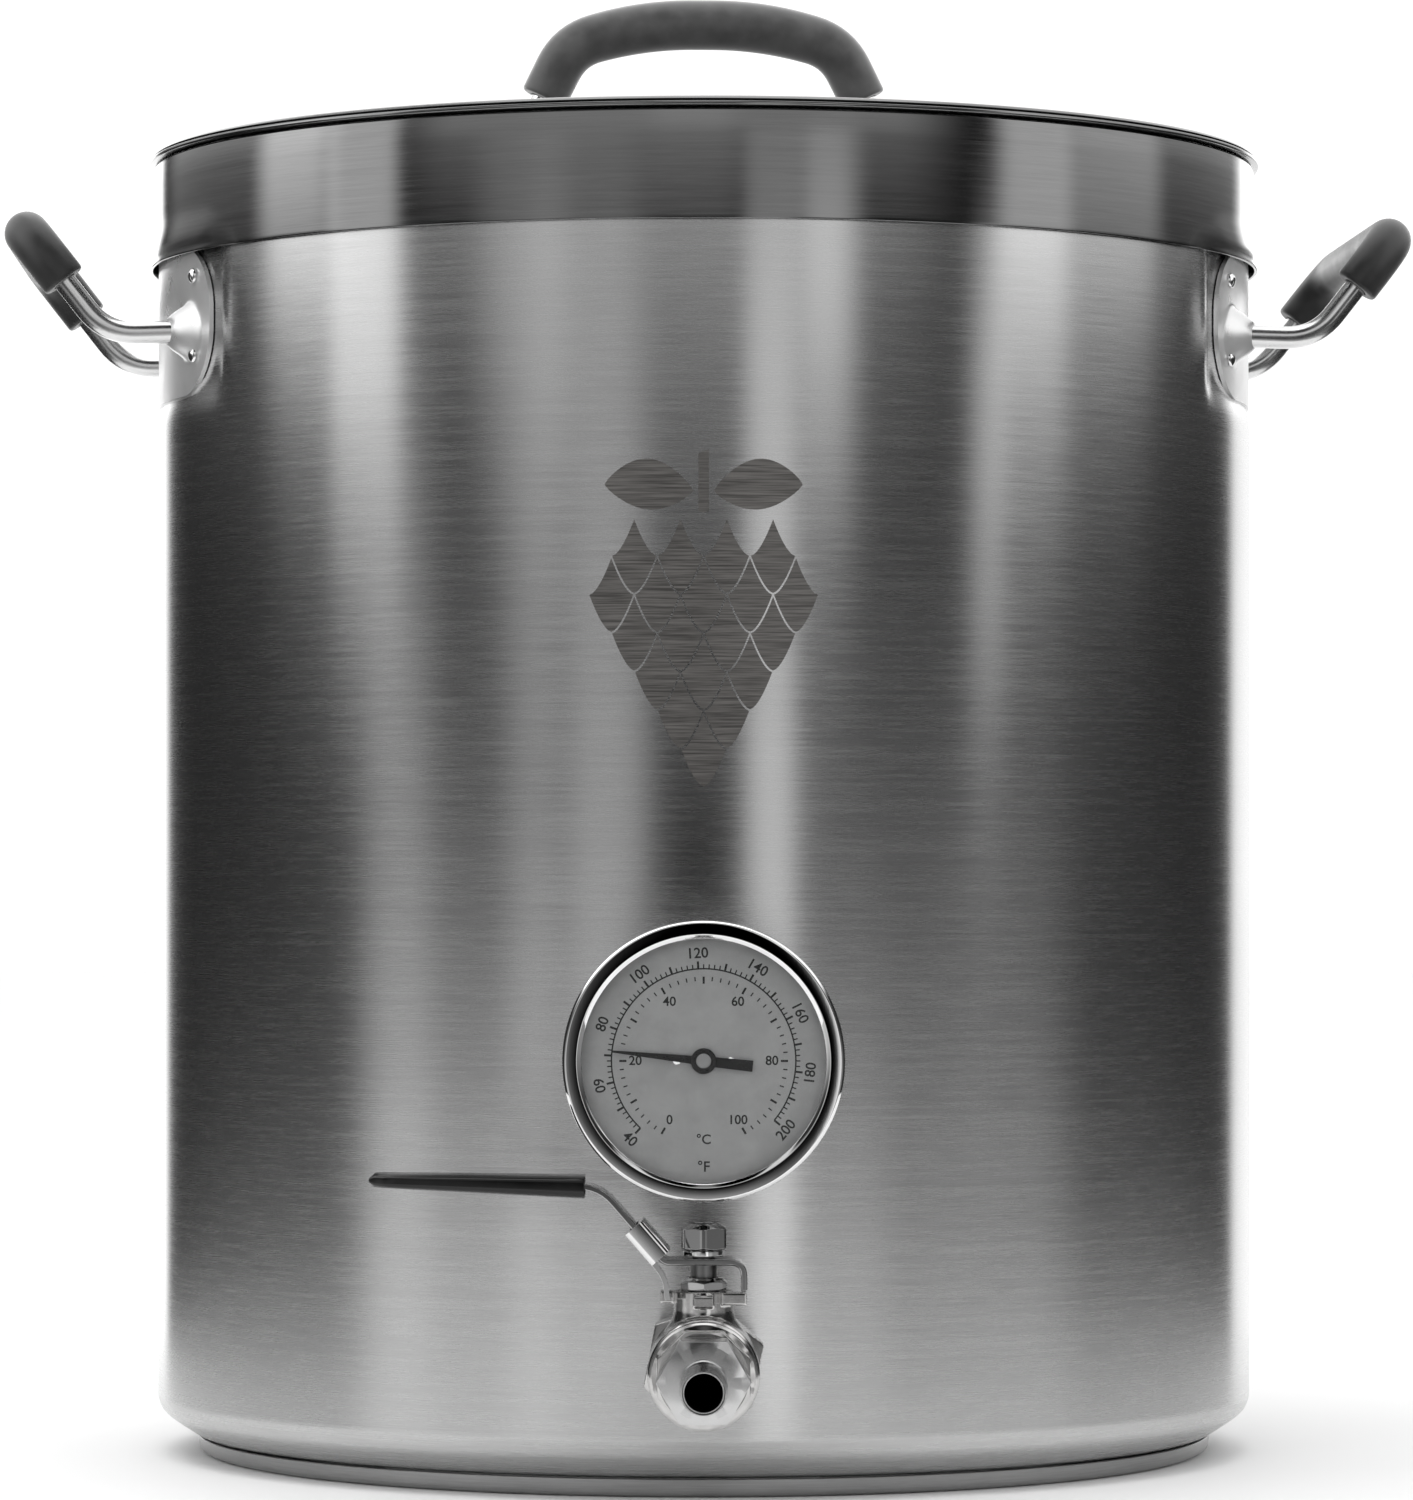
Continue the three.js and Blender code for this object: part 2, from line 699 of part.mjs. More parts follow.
function dialScrew() {
  const head = DIAL_FACE + 0.2;
  const tip = CASE_BACK + 1.2;
  return turned([
    [0, tip], [0.6, tip], [0.6, head], [1.2, head], [1, head + 0.5], [0, head + 0.5],
  ], 8);
}

function needle() {
  const half = 1.65;
  const tip = 0.3;
  const shape = new THREE.Shape();
  shape.moveTo(-half, -POINTER_TAIL);
  shape.lineTo(half, -POINTER_TAIL);
  shape.lineTo(half, -3);
  shape.lineTo(tip, POINTER_REACH);
  shape.lineTo(-tip, POINTER_REACH);
  shape.lineTo(-half, -3);
  shape.holes.push(new THREE.Path().absarc(0, 0, 1, 0, 2 * Math.PI, true));
  return new THREE.ExtrudeGeometry(shape, { depth: 0.4, bevelEnabled: false, curveSegments: 5 })
    .translate(0, 0, DIAL_FACE + 1);
}

function spindle() {
  const hub = DIAL_FACE + 1.6;
  const tip = PROBE_TIP + 3;
  return turned([
    [0, tip], [0.6, tip], [0.6, hub], [3.8, hub], [3.6, hub + 0.3], [0, hub + 0.4],
  ], 16);
}

function probe() {
  const inner = PROBE_RADIUS - 0.5;
  const top = CASE_BACK + 3;
  return turned([
    [0, PROBE_TIP], [2.4, PROBE_TIP], [PROBE_RADIUS, PROBE_TIP + 1], [PROBE_RADIUS, top],
    [inner, top], [inner, PROBE_TIP + 1.4], [0, PROBE_TIP + 1],
  ], 16);
}

function thermometerFitting() {
  const head = hexagon(22, CASE_BACK - 11, CASE_BACK - GAP);
  const shank = disc(SHANK, 169, CASE_BACK - 10);
  return cut(join(head, shank), disc(PROBE_HOLE, 160, CASE_BACK + 5, 16));
}

function wallNut(from, to) {
  return hexagonNut(28, NUT_BORE, from, to);
}

const coilCurve = new Helix(1.7, PROBE_TIP + 3, PROBE_TIP + 34, 6);

piece(thermometer, 'thermometer_case', caseCup(), brushedSteel);
piece(thermometer, 'thermometer_bezel', bezel(), polishedSteel);
piece(thermometer, 'thermometer_dial', dialPlate(), dialPaint);
piece(thermometer, 'thermometer_lens', lens(), glass);
piece(thermometer, 'thermometer_gasket', gasket(), blackSilicone);
piece(thermometer, 'dial_screw_left', dialScrew(), polishedSteel).position.x = -DIAL_SCREW_SIDE;
piece(thermometer, 'dial_screw_right', dialScrew(), polishedSteel).position.x = DIAL_SCREW_SIDE;
piece(thermometer, 'pointer_needle', needle(), pointerPaint).rotation.z = radians(POINTER_REST);
piece(thermometer, 'pointer_spindle', spindle(), pointerPaint);
piece(thermometer, 'bimetal_coil', rodAlong(coilCurve, 0.4, 48, 4), bimetal);
piece(thermometer, 'thermometer_probe', probe(), brushedSteel);
piece(thermometer, 'thermometer_fitting', thermometerFitting(), polishedSteel);
piece(thermometer, 'thermometer_seal', ring(NUT_BORE, 16, WALL_OUT, SEAL_OUT - GAP), clearSilicone);
piece(thermometer, 'thermometer_outer_nut', wallNut(SEAL_OUT, WALL_OUT + 12), polishedSteel);
piece(thermometer, 'thermometer_inner_nut', wallNut(WALL_IN - 6, WALL_IN), polishedSteel);

// ---------------------------------------------------------------- ball valve

// The frame stands where the stem's axis crosses the bore: the bore runs along Y, the stem along Z.

const valve = frameAt(kettle, [0, -VALVE_STEM, VALVE_HEIGHT]);

// A profile of [radius, distance out from the stem] pairs turned about the bore.
function alongBore(geometry) {
  return geometry.rotateX(Math.PI / 2);
}

const CHAMBER_RADIUS = 13.5;
const BODY_REAR = -28;
const BODY_FRONT = 18;
const REAR_FLATS = 33;
const REAR_TURN = -10.5; // degrees that the hexagon at the back of the body is turned
const CAP_FLATS = 27;
const COLLAR_FLATS = 27;
const VALVE_SEAL = 3.3;
const BARB_FLATS = 24;
const BARB_HEX_END = 44;
const BARB_RADIUS = 6.2;
const RIDGE_HEIGHT = 0.7;
const RIDGE_PITCH = 6.6;
const NECK_RADIUS = 8.85;
const NECK_TOP = 23.8;
const LUG_FRONT = 9.45; // how far the lug reaches in front of the stem's axis
const STEM_RADIUS = 3.9;
const STEM_HOLE = STEM_RADIUS + 0.4;
const STEM_TOP = 43.5;
const STEM_THREAD = 3.2;
const WALL_FROM_STEM = WALL_OUT - VALVE_STEM;

function valveBody() {
  const barrel = turned([
    [0, -16], [14.5, -16], [BARREL_RADIUS, -13], [BARREL_RADIUS, BODY_FRONT], [0, BODY_FRONT],
  ], 24);
  const solid = join(
    alongBore(hexagon(REAR_FLATS, BODY_REAR, -15, REAR_TURN)),
    alongBore(barrel),
    disc(NECK_RADIUS, 8, NECK_TOP),
    block(9, 6, 3.7, -8.3, 2.2, NECK_TOP - 2),
    block(9, 5.8, 3.7, 8.1, -6.3, NECK_TOP - 2),
    block(5.6, 3, 4, 0, 1.5 - LUG_FRONT, 21),
  );
  return cut(
    solid,
    alongBore(disc(CHAMBER_RADIUS, -13.5, BODY_FRONT + 1)),
    alongBore(disc(PORT_RADIUS, -20, -10)),
    alongBore(disc(NUT_BORE, BODY_REAR - 1, -15.4)),
    disc(5.7, 0, 15.2, 16),
    disc(STEM_HOLE, 0, 40, 16),
    disc(6.9, 19, 40, 16),
  );
}

function endCap() {
  const solid = join(
    alongBore(disc(CHAMBER_RADIUS - GAP, 13.5, 19)),
    alongBore(disc(16, BODY_FRONT + GAP, 23, 24)),
    alongBore(prism(8, CAP_FLATS, 20, 28, 22.5)),
  );
  return cut(solid, alongBore(disc(PORT_RADIUS, 10, 30)), alongBore(disc(NUT_BORE, 19.5, 30)));
}

function seat(side) {
  const inner = PORT_RADIUS + 0.3;
  const outer = CHAMBER_RADIUS - GAP;
  const profile = [[inner, 10.8], [12.1, 6.2], [outer, 6.2], [outer, 13.2], [inner, 13.2]];
  const geometry = alongBore(turned(profile));
  return side > 0 ? geometry : geometry.rotateZ(Math.PI);
}

function ball() {
  const sphere = new THREE.SphereGeometry(BALL_RADIUS, 16, 10).rotateX(Math.PI / 2);
  const port = disc(PORT_RADIUS - 0.1, -20, 20).rotateY(Math.PI / 2);
  return cut(sphere, port, block(30, 4.6, 10, 0, 0, 14));
}

function stem() {
  return join(
    block(9, 4, 4.5, 0, 0, 11.55),
    disc(5.3, 13.3, 14.9, 16),
    disc(STEM_RADIUS, 14.5, LEVER_PLATE - LEVER_SHEET / 2 - GAP, 16),
    disc(STEM_THREAD - 0.3, 30, STEM_TOP, 16),
  );
}

function hoseBarb() {
  const ridges = [];
  for (let start = BARB_HEX_END + 6; start < BARB_TIP - 4; start += RIDGE_PITCH) {
    ridges.push([BARB_RADIUS, start], [BARB_RADIUS + RIDGE_HEIGHT, start + 0.6]);
  }
  const tube = turned([
    [0, BARB_HEX_END - 1],
    [BARB_RADIUS, BARB_HEX_END - 1],
    ...ridges,
    [BARB_RADIUS, BARB_TIP - 1],
    [BARB_RADIUS - 0.1, BARB_TIP],
    [0, BARB_TIP],
  ]);
  return cut(
    join(
      alongBore(disc(THREAD_RADIUS, 20, BARB_HEX_END - 10)),
      alongBore(hexagon(BARB_FLATS, 28.3, BARB_HEX_END, 30)),
      alongBore(tube),
    ),
    alongBore(disc(BARB_BORE, 10, BARB_TIP + 5)),
  );
}

function nipple() {
  return cut(
    join(
      alongBore(disc(THREAD_RADIUS, WALL_FROM_STEM - 14, -15.7)),
      alongBore(hexagon(COLLAR_FLATS, WALL_FROM_STEM + VALVE_SEAL + GAP, BODY_REAR - GAP)),
    ),
    alongBore(disc(PORT_RADIUS, -60, 0)),
  );
}

function valveSeal() {
  return alongBore(ring(SHANK, 15, WALL_FROM_STEM, WALL_FROM_STEM + VALVE_SEAL));
}

function locknut() {
  return alongBore(hexagonNut(COLLAR_FLATS, SHANK, WALL_FROM_STEM - 9, WALL_FROM_STEM - 3));
}

// The lever rises from its plate along a slope and then runs out nearly level to its tip.
const SLOPE_FOOT = new THREE.Vector2(-11.5, LEVER_PLATE);
const SLOPE_HEAD = new THREE.Vector2(-30.6, 54.5);
const LEVER_TIP = new THREE.Vector2(-96, 56.4);

function leverArm() {
  const line = roundedLine([
    new THREE.Vector2(11.9, 23.9),
    new THREE.Vector2(11.9, LEVER_PLATE),
    SLOPE_FOOT,
    SLOPE_HEAD,
    LEVER_TIP,
  ], [2, 1.6, 6]);
  const strip = extrudedAcross(sheetOutline(line, LEVER_SHEET), LEVER_WIDTH);
  return cut(strip, disc(STEM_THREAD, 30, 36, 16));
}

function leverGrip() {
  const outline = new THREE.Shape();
  outline.moveTo(-GRIP_START, 51);
  outline.lineTo(-GRIP_START, 58);
  outline.lineTo(-GRIP_END + 2, 58.8);
  outline.lineTo(-GRIP_END, 57.4);
  outline.lineTo(-GRIP_END, 55.6);
  outline.lineTo(-GRIP_END + 2, 54.2);
  const body = extrudedAcross(outline, LEVER_WIDTH + 5);
  const line = [new THREE.Vector2(-GRIP_START + 5, SLOPE_HEAD.y), new THREE.Vector2(-96.4, LEVER_TIP.y)];
  return cut(body, extrudedAcross(sheetOutline(line, LEVER_SHEET + 0.8), LEVER_WIDTH + 0.8));
}

// The locking slide: a sleeve round the lever's slope, with a tongue that hangs beside the neck.
function lockSlide() {
  const slope = Math.atan2(SLOPE_HEAD.y - SLOPE_FOOT.y, SLOPE_FOOT.x - SLOPE_HEAD.x);
  const place = (geometry) => geometry.rotateY(slope).translate(-16.55, 0, 38.32);
  const sleeve = place(block(12, LEVER_WIDTH + 4, 7.2, 0, 0, 0));
  const slot = place(block(20, LEVER_WIDTH + 0.8, LEVER_SHEET + 0.8, 0, 0, 0));
  const corners = [[-15, 32.6], [-11.4, 28], [-10.6, 21.4]].map(([x, z]) => new THREE.Vector2(x, z));
  const tongue = extrudedAcross(sheetOutline(roundedLine(corners, [3]), 1.5), 5.6).translate(0, -5.8, 0);
  return cut(join(sleeve, tongue), slot);
}

piece(valve, 'valve_body', valveBody(), castSteel);
piece(valve, 'valve_end_cap', endCap(), castSteel);
piece(valve, 'valve_seat_front', seat(1), ptfe);
piece(valve, 'valve_seat_rear', seat(-1), ptfe);
piece(valve, 'valve_ball', ball(), polishedSteel);
piece(valve, 'valve_stem', stem(), polishedSteel);
piece(valve, 'stem_packing', ring(STEM_HOLE, 6.6, 19.3, 23.5, 16), ptfe);
piece(valve, 'gland_nut', hexagonNut(13.6, STEM_HOLE, NECK_TOP + GAP, 27.8), castSteel);
piece(valve, 'hose_barb', hoseBarb(), polishedSteel);
piece(valve, 'valve_nipple', nipple(), polishedSteel);
piece(valve, 'valve_seal', valveSeal(), clearSilicone);
piece(valve, 'valve_locknut', locknut(), polishedSteel);
piece(valve, 'lever_arm', leverArm(), castSteel);
piece(valve, 'lever_grip', leverGrip(), blackVinyl);
piece(valve, 'lever_washer', ring(STEM_THREAD, 6, 33.8, 35.7, 16), castSteel);
piece(valve, 'lever_nut', hexagonNut(13.2, STEM_THREAD, 36, 42), castSteel);
piece(valve, 'lock_slide', lockSlide(), castSteel);

export default kettle;
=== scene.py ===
import json
import math
from collections import namedtuple

import bmesh
import bpy
from mathutils import Matrix, Vector

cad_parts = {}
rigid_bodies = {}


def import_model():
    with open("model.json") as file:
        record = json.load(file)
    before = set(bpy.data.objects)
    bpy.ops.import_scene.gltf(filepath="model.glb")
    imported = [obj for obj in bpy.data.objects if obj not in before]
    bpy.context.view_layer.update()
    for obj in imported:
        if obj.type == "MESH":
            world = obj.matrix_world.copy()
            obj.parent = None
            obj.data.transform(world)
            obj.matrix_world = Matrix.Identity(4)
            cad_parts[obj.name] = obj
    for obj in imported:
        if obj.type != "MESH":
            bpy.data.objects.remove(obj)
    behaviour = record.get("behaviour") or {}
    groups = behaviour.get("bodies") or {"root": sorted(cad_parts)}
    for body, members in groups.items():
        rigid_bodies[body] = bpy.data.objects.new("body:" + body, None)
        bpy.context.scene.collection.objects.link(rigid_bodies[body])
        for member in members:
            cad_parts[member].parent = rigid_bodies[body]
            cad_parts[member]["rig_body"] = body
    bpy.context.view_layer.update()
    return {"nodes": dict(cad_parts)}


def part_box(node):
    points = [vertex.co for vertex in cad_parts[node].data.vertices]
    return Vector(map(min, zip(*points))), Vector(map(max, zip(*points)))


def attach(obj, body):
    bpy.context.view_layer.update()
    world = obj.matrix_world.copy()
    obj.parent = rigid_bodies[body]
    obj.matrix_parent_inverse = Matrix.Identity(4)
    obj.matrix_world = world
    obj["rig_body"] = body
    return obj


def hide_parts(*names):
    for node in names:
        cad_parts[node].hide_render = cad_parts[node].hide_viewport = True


# A stainless steel brew kettle: the fine meshes, materials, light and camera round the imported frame.
# Lengths are millimetres until a mesh is made, where MM turns them into metres.

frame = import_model()

MM = 0.001
GAP = 0.3  # clearance between pieces that touch in life
FLATS_SHARP = 12  # the angle, in degrees, from which an edge of wrench flats is sharp
BEND_STEPS = 10  # straight pieces in the curve of a bent rod
RING_SPACING = 2  # between the rings of a bent rod's mesh

# ---- places and sizes


def middle(node):
    """The centre of a CAD node's box, in millimetres."""
    low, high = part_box(node)
    return (low + high) / 2 / MM


def low_of(node):
    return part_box(node)[0] / MM


def high_of(node):
    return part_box(node)[1] / MM


HANDLE_TURN = math.radians(2.7)
DIAL_HEIGHT = middle("thermometer_lens").z
DIAL_FACE = -low_of("thermometer_dial").y
VALVE_STEM = -middle("valve_stem").y
VALVE_HEIGHT = middle("valve_nipple").z

WALL_RADIUS = 180
WALL_THICKNESS = 1.2
INNER_RADIUS = WALL_RADIUS - WALL_THICKNESS
KETTLE_HEIGHT = high_of("kettle_body").z
BASE_RADIUS = 167
BASE_THICKNESS = high_of("base_cap").z
BOTTOM = low_of("kettle_body").z
BOTTOM_THICKNESS = 1.2
LIP_RADIUS = 183.3
BAND_BOTTOM = low_of("rim_band").z
BAND_TOP = high_of("rim_band").z
BAND_THICKNESS = 1.1
BAND_RADIUS = WALL_RADIUS + GAP + BAND_THICKNESS
HOOD_TOP = 402
HOOD_SHOULDER = 391
HOOD_PROUD = 1.2
PAD_DEPTH = 2
PAD_SIDE = (27.6, 31)  # bearings from the handle, in degrees
PAD_LOW = (334, 349)
PAD_HIGH = (396, BAND_TOP)
PLATE_BOTTOM = low_of("right_handle_plate").z
PLATE_TOP = high_of("right_handle_plate").z
PLATE_HALF_WIDTH = 81
PLATE_CORNER = 21
PLATE_THICKNESS = 1.5
PLATE_OUT = WALL_RADIUS - PAD_DEPTH + GAP + PLATE_THICKNESS
RIVET_SIDE = 70
RIVET_HEIGHTS = (379.9, 354.8)
RIVET_HEAD = 2.6
RIVET_SHANK = 1.6
LEG_SIDE = 66
LEG_HEIGHT = 362.5
LEG_START = 168
BOSS_REACH = 174
HANDLE_ROD = 3.6
HANDLE_SLEEVE = 7.2
HANDLE_REACH = 220
HANDLE_RISE = 395
BEND_REACH = 17
ELBOW_REACH = 194
ELBOW_BEND = 10

LID_TOP = 424.2
LID_THICKNESS = 1.2
LID_RADIUS = 182.6
LID_PLUG = 177.2
LID_PLUG_DEPTH = 3.8
LID_CROWN = LID_TOP + 1.5
LID_FOOT = LID_CROWN + GAP
LID_HANDLE_HALF = 62
LID_HANDLE_SHOULDER = (44.3, 463.5)
LID_HANDLE_CREST = (20, 470.6)
LID_HANDLE_ROD = 4
LID_HANDLE_SLEEVE = 7.7
LID_SLEEVE_MIDDLE = 8.2
LID_SLEEVE_START = 0.5
LID_RIVET_SPREAD = 9
FOOT_THICKNESS = 1.6
FOOT_RADIUS = 6
SHOULDER_REACH = 8.5
CREST_REACH = 16.5

BEZEL_RADIUS = 41.5
WINDOW_RADIUS = 35.9
CASE_RADIUS = 39.2
LENS_RADIUS = 38.9
PROBE_TIP = 103
PROBE_RADIUS = 3.2
POINTER_REACH = 27.1
POINTER_TAIL = 14.5
POINTER_REST = math.radians(84)
DIAL_SCREW_SIDE = 7.9

BARREL_RADIUS = 16.5
CHAMBER_RADIUS = 13.5
PORT_RADIUS = 7.5
THREAD_RADIUS = 10
NECK_RADIUS = 8.85
NECK_TOP = 23.8
STEM_RADIUS = 3.9
BARB_TIP = 75
BARB_HEX_END = 44
BARB_RADIUS = 6.2
BARB_BORE = 5.5
LEVER_SHEET = 1.9
LEVER_WIDTH = 16
LEVER_PLATE = 32.5
GRIP_START = 34.8
GRIP_END = 98.5
WALL_FROM_STEM = WALL_RADIUS + GAP - VALVE_STEM

KETTLE = Matrix.Rotation(HANDLE_TURN, 4, "Z")
OUTWARD = Matrix.Rotation(math.pi / 2, 4, "X")
DIAL = Matrix.Translation((0, 0, DIAL_HEIGHT)) @ OUTWARD
VALVE = Matrix.Translation((0, -VALVE_STEM, VALVE_HEIGHT))
BORE = VALVE @ OUTWARD

# ---- mesh helpers


def build(points, faces, place=None, sharp=32):
    """A mesh object from points in millimetres, smooth where its faces meet at under sharp degrees."""
    mesh = bpy.data.meshes.new("piece")
    mesh.from_pydata([tuple(point) for point in points], [], faces)
    mesh.transform(Matrix.Scale(MM, 4) @ (place or Matrix()))
    solid = bmesh.new()
    solid.from_mesh(mesh)
    bmesh.ops.recalc_face_normals(solid, faces=solid.faces)
    solid.to_mesh(mesh)
    solid.free()
    shade(mesh, sharp)
    return in_scene(mesh)


def given(thing, **settings):
    for name, value in settings.items():
        setattr(thing, name, value)
    return thing


def in_scene(data, name="piece"):
    made = bpy.data.objects.new(name, data)
    bpy.context.scene.collection.objects.link(made)
    return made


def shade(mesh, sharp=32):
    mesh.shade_smooth()
    mesh.set_sharp_from_angle(angle=math.radians(sharp))


def skin(rings, closed):
    """The points and faces of a surface through rings of points. A ring of one point closes an end."""
    points = []
    starts = []
    for ring in rings:
        starts.append(len(points))
        points.extend(ring)
    faces = []
    pairs = list(zip(range(len(rings)), range(1, len(rings))))
    if closed:
        pairs.append((len(rings) - 1, 0))
    for a, b in pairs:
        count = max(len(rings[a]), len(rings[b]))
        for i in range(count):
            j = (i + 1) % count
            one = [starts[a] + i, starts[a] + j] if len(rings[a]) > 1 else [starts[a]]
            two = [starts[b] + j, starts[b] + i] if len(rings[b]) > 1 else [starts[b]]
            faces.append(one + two)
    return points, faces


def prism(low, high, place=None):
    """A solid between two outlines with as many points each."""
    count = len(low)
    faces = [list(range(count)), list(range(count, 2 * count))]
    faces += [[i, (i + 1) % count, count + (i + 1) % count, count + i] for i in range(count)]
    return build(low + high, faces, place)


def sheet(front, back, wide, place=None, sharp=32):
    """A solid between two grids of points, each in rows of wide points."""
    count = len(front)
    rows = count // wide - 1
    faces = []
    for row in range(rows):
        for a in range(row * wide, (row + 1) * wide - 1):
            b = a + wide
            faces.append([a, a + 1, b + 1, b])
            faces.append([count + b, count + b + 1, count + a + 1, count + a])
    border = list(range(wide))
    border += [wide * (row + 2) - 1 for row in range(rows)]
    border += [wide * rows + column for column in range(wide - 2, -1, -1)]
    border += [wide * row for row in range(rows - 1, 0, -1)]
    faces += [[b, a, count + a, count + b] for a, b in zip(border, border[1:] + border[:1])]
    return build(front + back, faces, place, sharp)


def curve(start, corner, finish, steps):
    """Points along a curve from start to finish, drawn towards a corner."""
    shares = [step / steps for step in range(steps + 1)]
    return [start.lerp(corner, t).lerp(corner.lerp(finish, t), t) for t in shares]


def softened(outline, closed, steps=4):
    """An outline with its corners rounded. A corner is (a, b) or (a, b, reach) and is left as it is
    where its reach is 0; no curve takes more than half of a side."""
    corners = [(Vector(c[:2]), c[2] if len(c) > 2 else 0) for c in outline]
    points = []
    for i, (corner, reach) in enumerate(corners):
        end = i in (0, len(corners) - 1) and not closed
        if reach == 0 or end:
            points.append(corner)
            continue
        before = corners[i - 1][0] - corner
        after = corners[(i + 1) % len(corners)][0] - corner
        start = corner + before.normalized() * min(reach, before.length * 0.49)
        finish = corner + after.normalized() * min(reach, after.length * 0.49)
        points += curve(start, corner, finish, steps)
    return points


# One edge of a nut's outline in a turned profile. lean is the sign of the nut's chamfer there.
Flats = namedtuple("Flats", "across height lean sides turn reach")


def polar(radius, angle, height=0.0):
    return Vector((radius * math.cos(angle), radius * math.sin(angle), height))


def round_angles(count):
    return [2 * math.pi * i / count for i in range(count)]


def flats_ring(flats, segments):
    """The points of an edge, whose height follows the nut's chamfer."""
    share = 2 * math.pi / flats.sides
    points = []
    for angle in round_angles(segments):
        radius = flats.across / 2 / math.cos((angle - flats.turn) % share - share / 2)
        radius = min(radius, flats.across * flats.reach)
        height = flats.height + flats.lean * 0.5 * (radius - flats.across * 0.49)
        points.append(polar(radius, angle, height))
    return points


def nut_profile(across, bottom, top, sides=6, turn=0.0, reach=1.0):
    """The outside of a nut or wrench flats, chamfered at both ends, as part of a turned profile.
    reach is how far its corners go, as a share of its width, before they are turned round."""
    inner = across * 0.49
    low = Flats(across, bottom, 1, sides, turn, reach)
    high = Flats(across, top, -1, sides, turn, reach)
    return [(inner, bottom), low, high, (inner, top)]


def plug(radius, low, high, soft=0.0):
    """The profile of a disc or a round rod."""
    return [(0, low), (radius, low, soft), (radius, high, soft), (0, high)]


def tube(inner, outer, low, high, soft=0.4, inner_soft=None):
    """The profile of a ring or a tube."""
    inside = soft if inner_soft is None else inner_soft
    return [(inner, low, inside), (outer, low, soft), (outer, high, soft), (inner, high, inside)]


def circle(radius, height, segments):
    return [polar(radius, angle, height) for angle in (round_angles(segments) if radius else [0])]


def turned(profile, place=None, segments=96, sharp=32, warp=None):
    """A profile turned about Z: pairs of radius and height, Flats, or a third number that softens a
    corner. It closes on itself unless it starts on the axis. warp moves each point."""
    closed = isinstance(profile[0], Flats) or profile[0][0] > 0
    if any(isinstance(p, Flats) for p in profile):
        sharp = min(sharp, FLATS_SHARP)
        rings = [flats_ring(p, segments) if isinstance(p, Flats) else circle(*p, segments) for p in profile]
    else:
        rings = [circle(p.x, p.y, segments) for p in softened(profile, closed)]
    if warp:
        rings = [[warp(point) for point in ring] for ring in rings]
    return build(*skin(rings, closed), place, sharp)


def bent_line(corners, reaches):
    """Points along a line whose corners are rounded by curves. reaches says how far from each
    corner its curve starts."""
    points = [corners[0]]
    for i, reach in zip(range(1, len(corners) - 1), reaches):
        corner = corners[i]
        start = corner + (corners[i - 1] - corner).normalized() * reach
        finish = corner + (corners[i + 1] - corner).normalized() * reach
        points += curve(start, corner, finish, BEND_STEPS)
    points.append(corners[-1])
    return points


class Path:
    """A line through points with a frame that doesn't twist."""

    def __init__(self, points):
        self.points = points
        self.lengths = [0.0]
        for a, b in zip(points, points[1:]):
            self.lengths.append(self.lengths[-1] + (b - a).length)
        self.length = self.lengths[-1]
        ahead = points[1:] + points[-1:]
        behind = points[:1] + points[:-1]
        self.tangents = [(b - a).normalized() for a, b in zip(behind, ahead)]
        self.sides = []
        side = self.tangents[0].orthogonal().normalized()
        for tangent in self.tangents:
            side = (side - tangent * side.dot(tangent)).normalized()
            self.sides.append(side)

    def at(self, distance):
        """The point, tangent and side direction at a distance along the line."""
        distance = min(max(distance, 0.0), self.length)
        i = 0
        while i < len(self.lengths) - 2 and self.lengths[i + 1] < distance:
            i += 1
        t = (distance - self.lengths[i]) / (self.lengths[i + 1] - self.lengths[i])
        tangent = self.tangents[i].lerp(self.tangents[i + 1], t).normalized()
        side = self.sides[i].lerp(self.sides[i + 1], t)
        side = (side - tangent * side.dot(tangent)).normalized()
        return self.points[i].lerp(self.points[i + 1], t), tangent, side

    def ring(self, distance, radius, segments):
        centre, tangent, side = self.at(distance)
        if radius == 0:
            return [centre]
        other = tangent.cross(side)
        spokes = [side * math.cos(angle) + other * math.sin(angle) for angle in round_angles(segments)]
        return [centre + spoke * radius for spoke in spokes]


def swept(line, profile, place=None, segments=32):
    """A profile of (radius, distance along the line) pairs turned round a bent line."""
    path = Path(line)
    closed = profile[0][0] > 0
    corners = softened(profile, closed)
    if closed:
        corners.append(corners[0])
    stations = []
    for a, b in zip(corners, corners[1:]):
        count = max(1, round(abs(b.y - a.y) / RING_SPACING))
        stations.extend(a.lerp(b, k / count) for k in range(count))
    if not closed:
        stations.append(corners[-1])
    rings = [path.ring(s.y, s.x, segments) for s in stations]
    return build(*skin(rings, closed), place)


def extruded(outline, width, place=None, across=0.0):
    """An outline drawn in X and Z, given a width along Y with its middle at across."""
    sides = (across - width / 2, across + width / 2)
    return prism(*[[Vector((p[0], y, p[1])) for p in outline] for y in sides], place)


def block(left, right, low, high, width, place=None, across=0.0):
    """A box drawn in X and Z, given a width along Y."""
    return extruded([(left, low), (right, low), (right, high), (left, high)], width, place, across)


def sheet_outline(line, thickness):
    """The outline of a sheet of even thickness whose middle follows a line in X and Z."""
    left = []
    right = []
    for i, point in enumerate(line):
        along = line[min(i + 1, len(line) - 1)] - line[max(i - 1, 0)]
        side = Vector((-along.y, along.x)).normalized() * thickness / 2
        left.append(point + side)
        right.insert(0, point - side)
    return left + right


def apply_modifiers(made):
    """Turns an object's modifiers into its mesh."""
    graph = bpy.context.evaluated_depsgraph_get()
    mesh = bpy.data.meshes.new_from_object(made.evaluated_get(graph))
    made.modifiers.clear()
    made.data = mesh
    return made


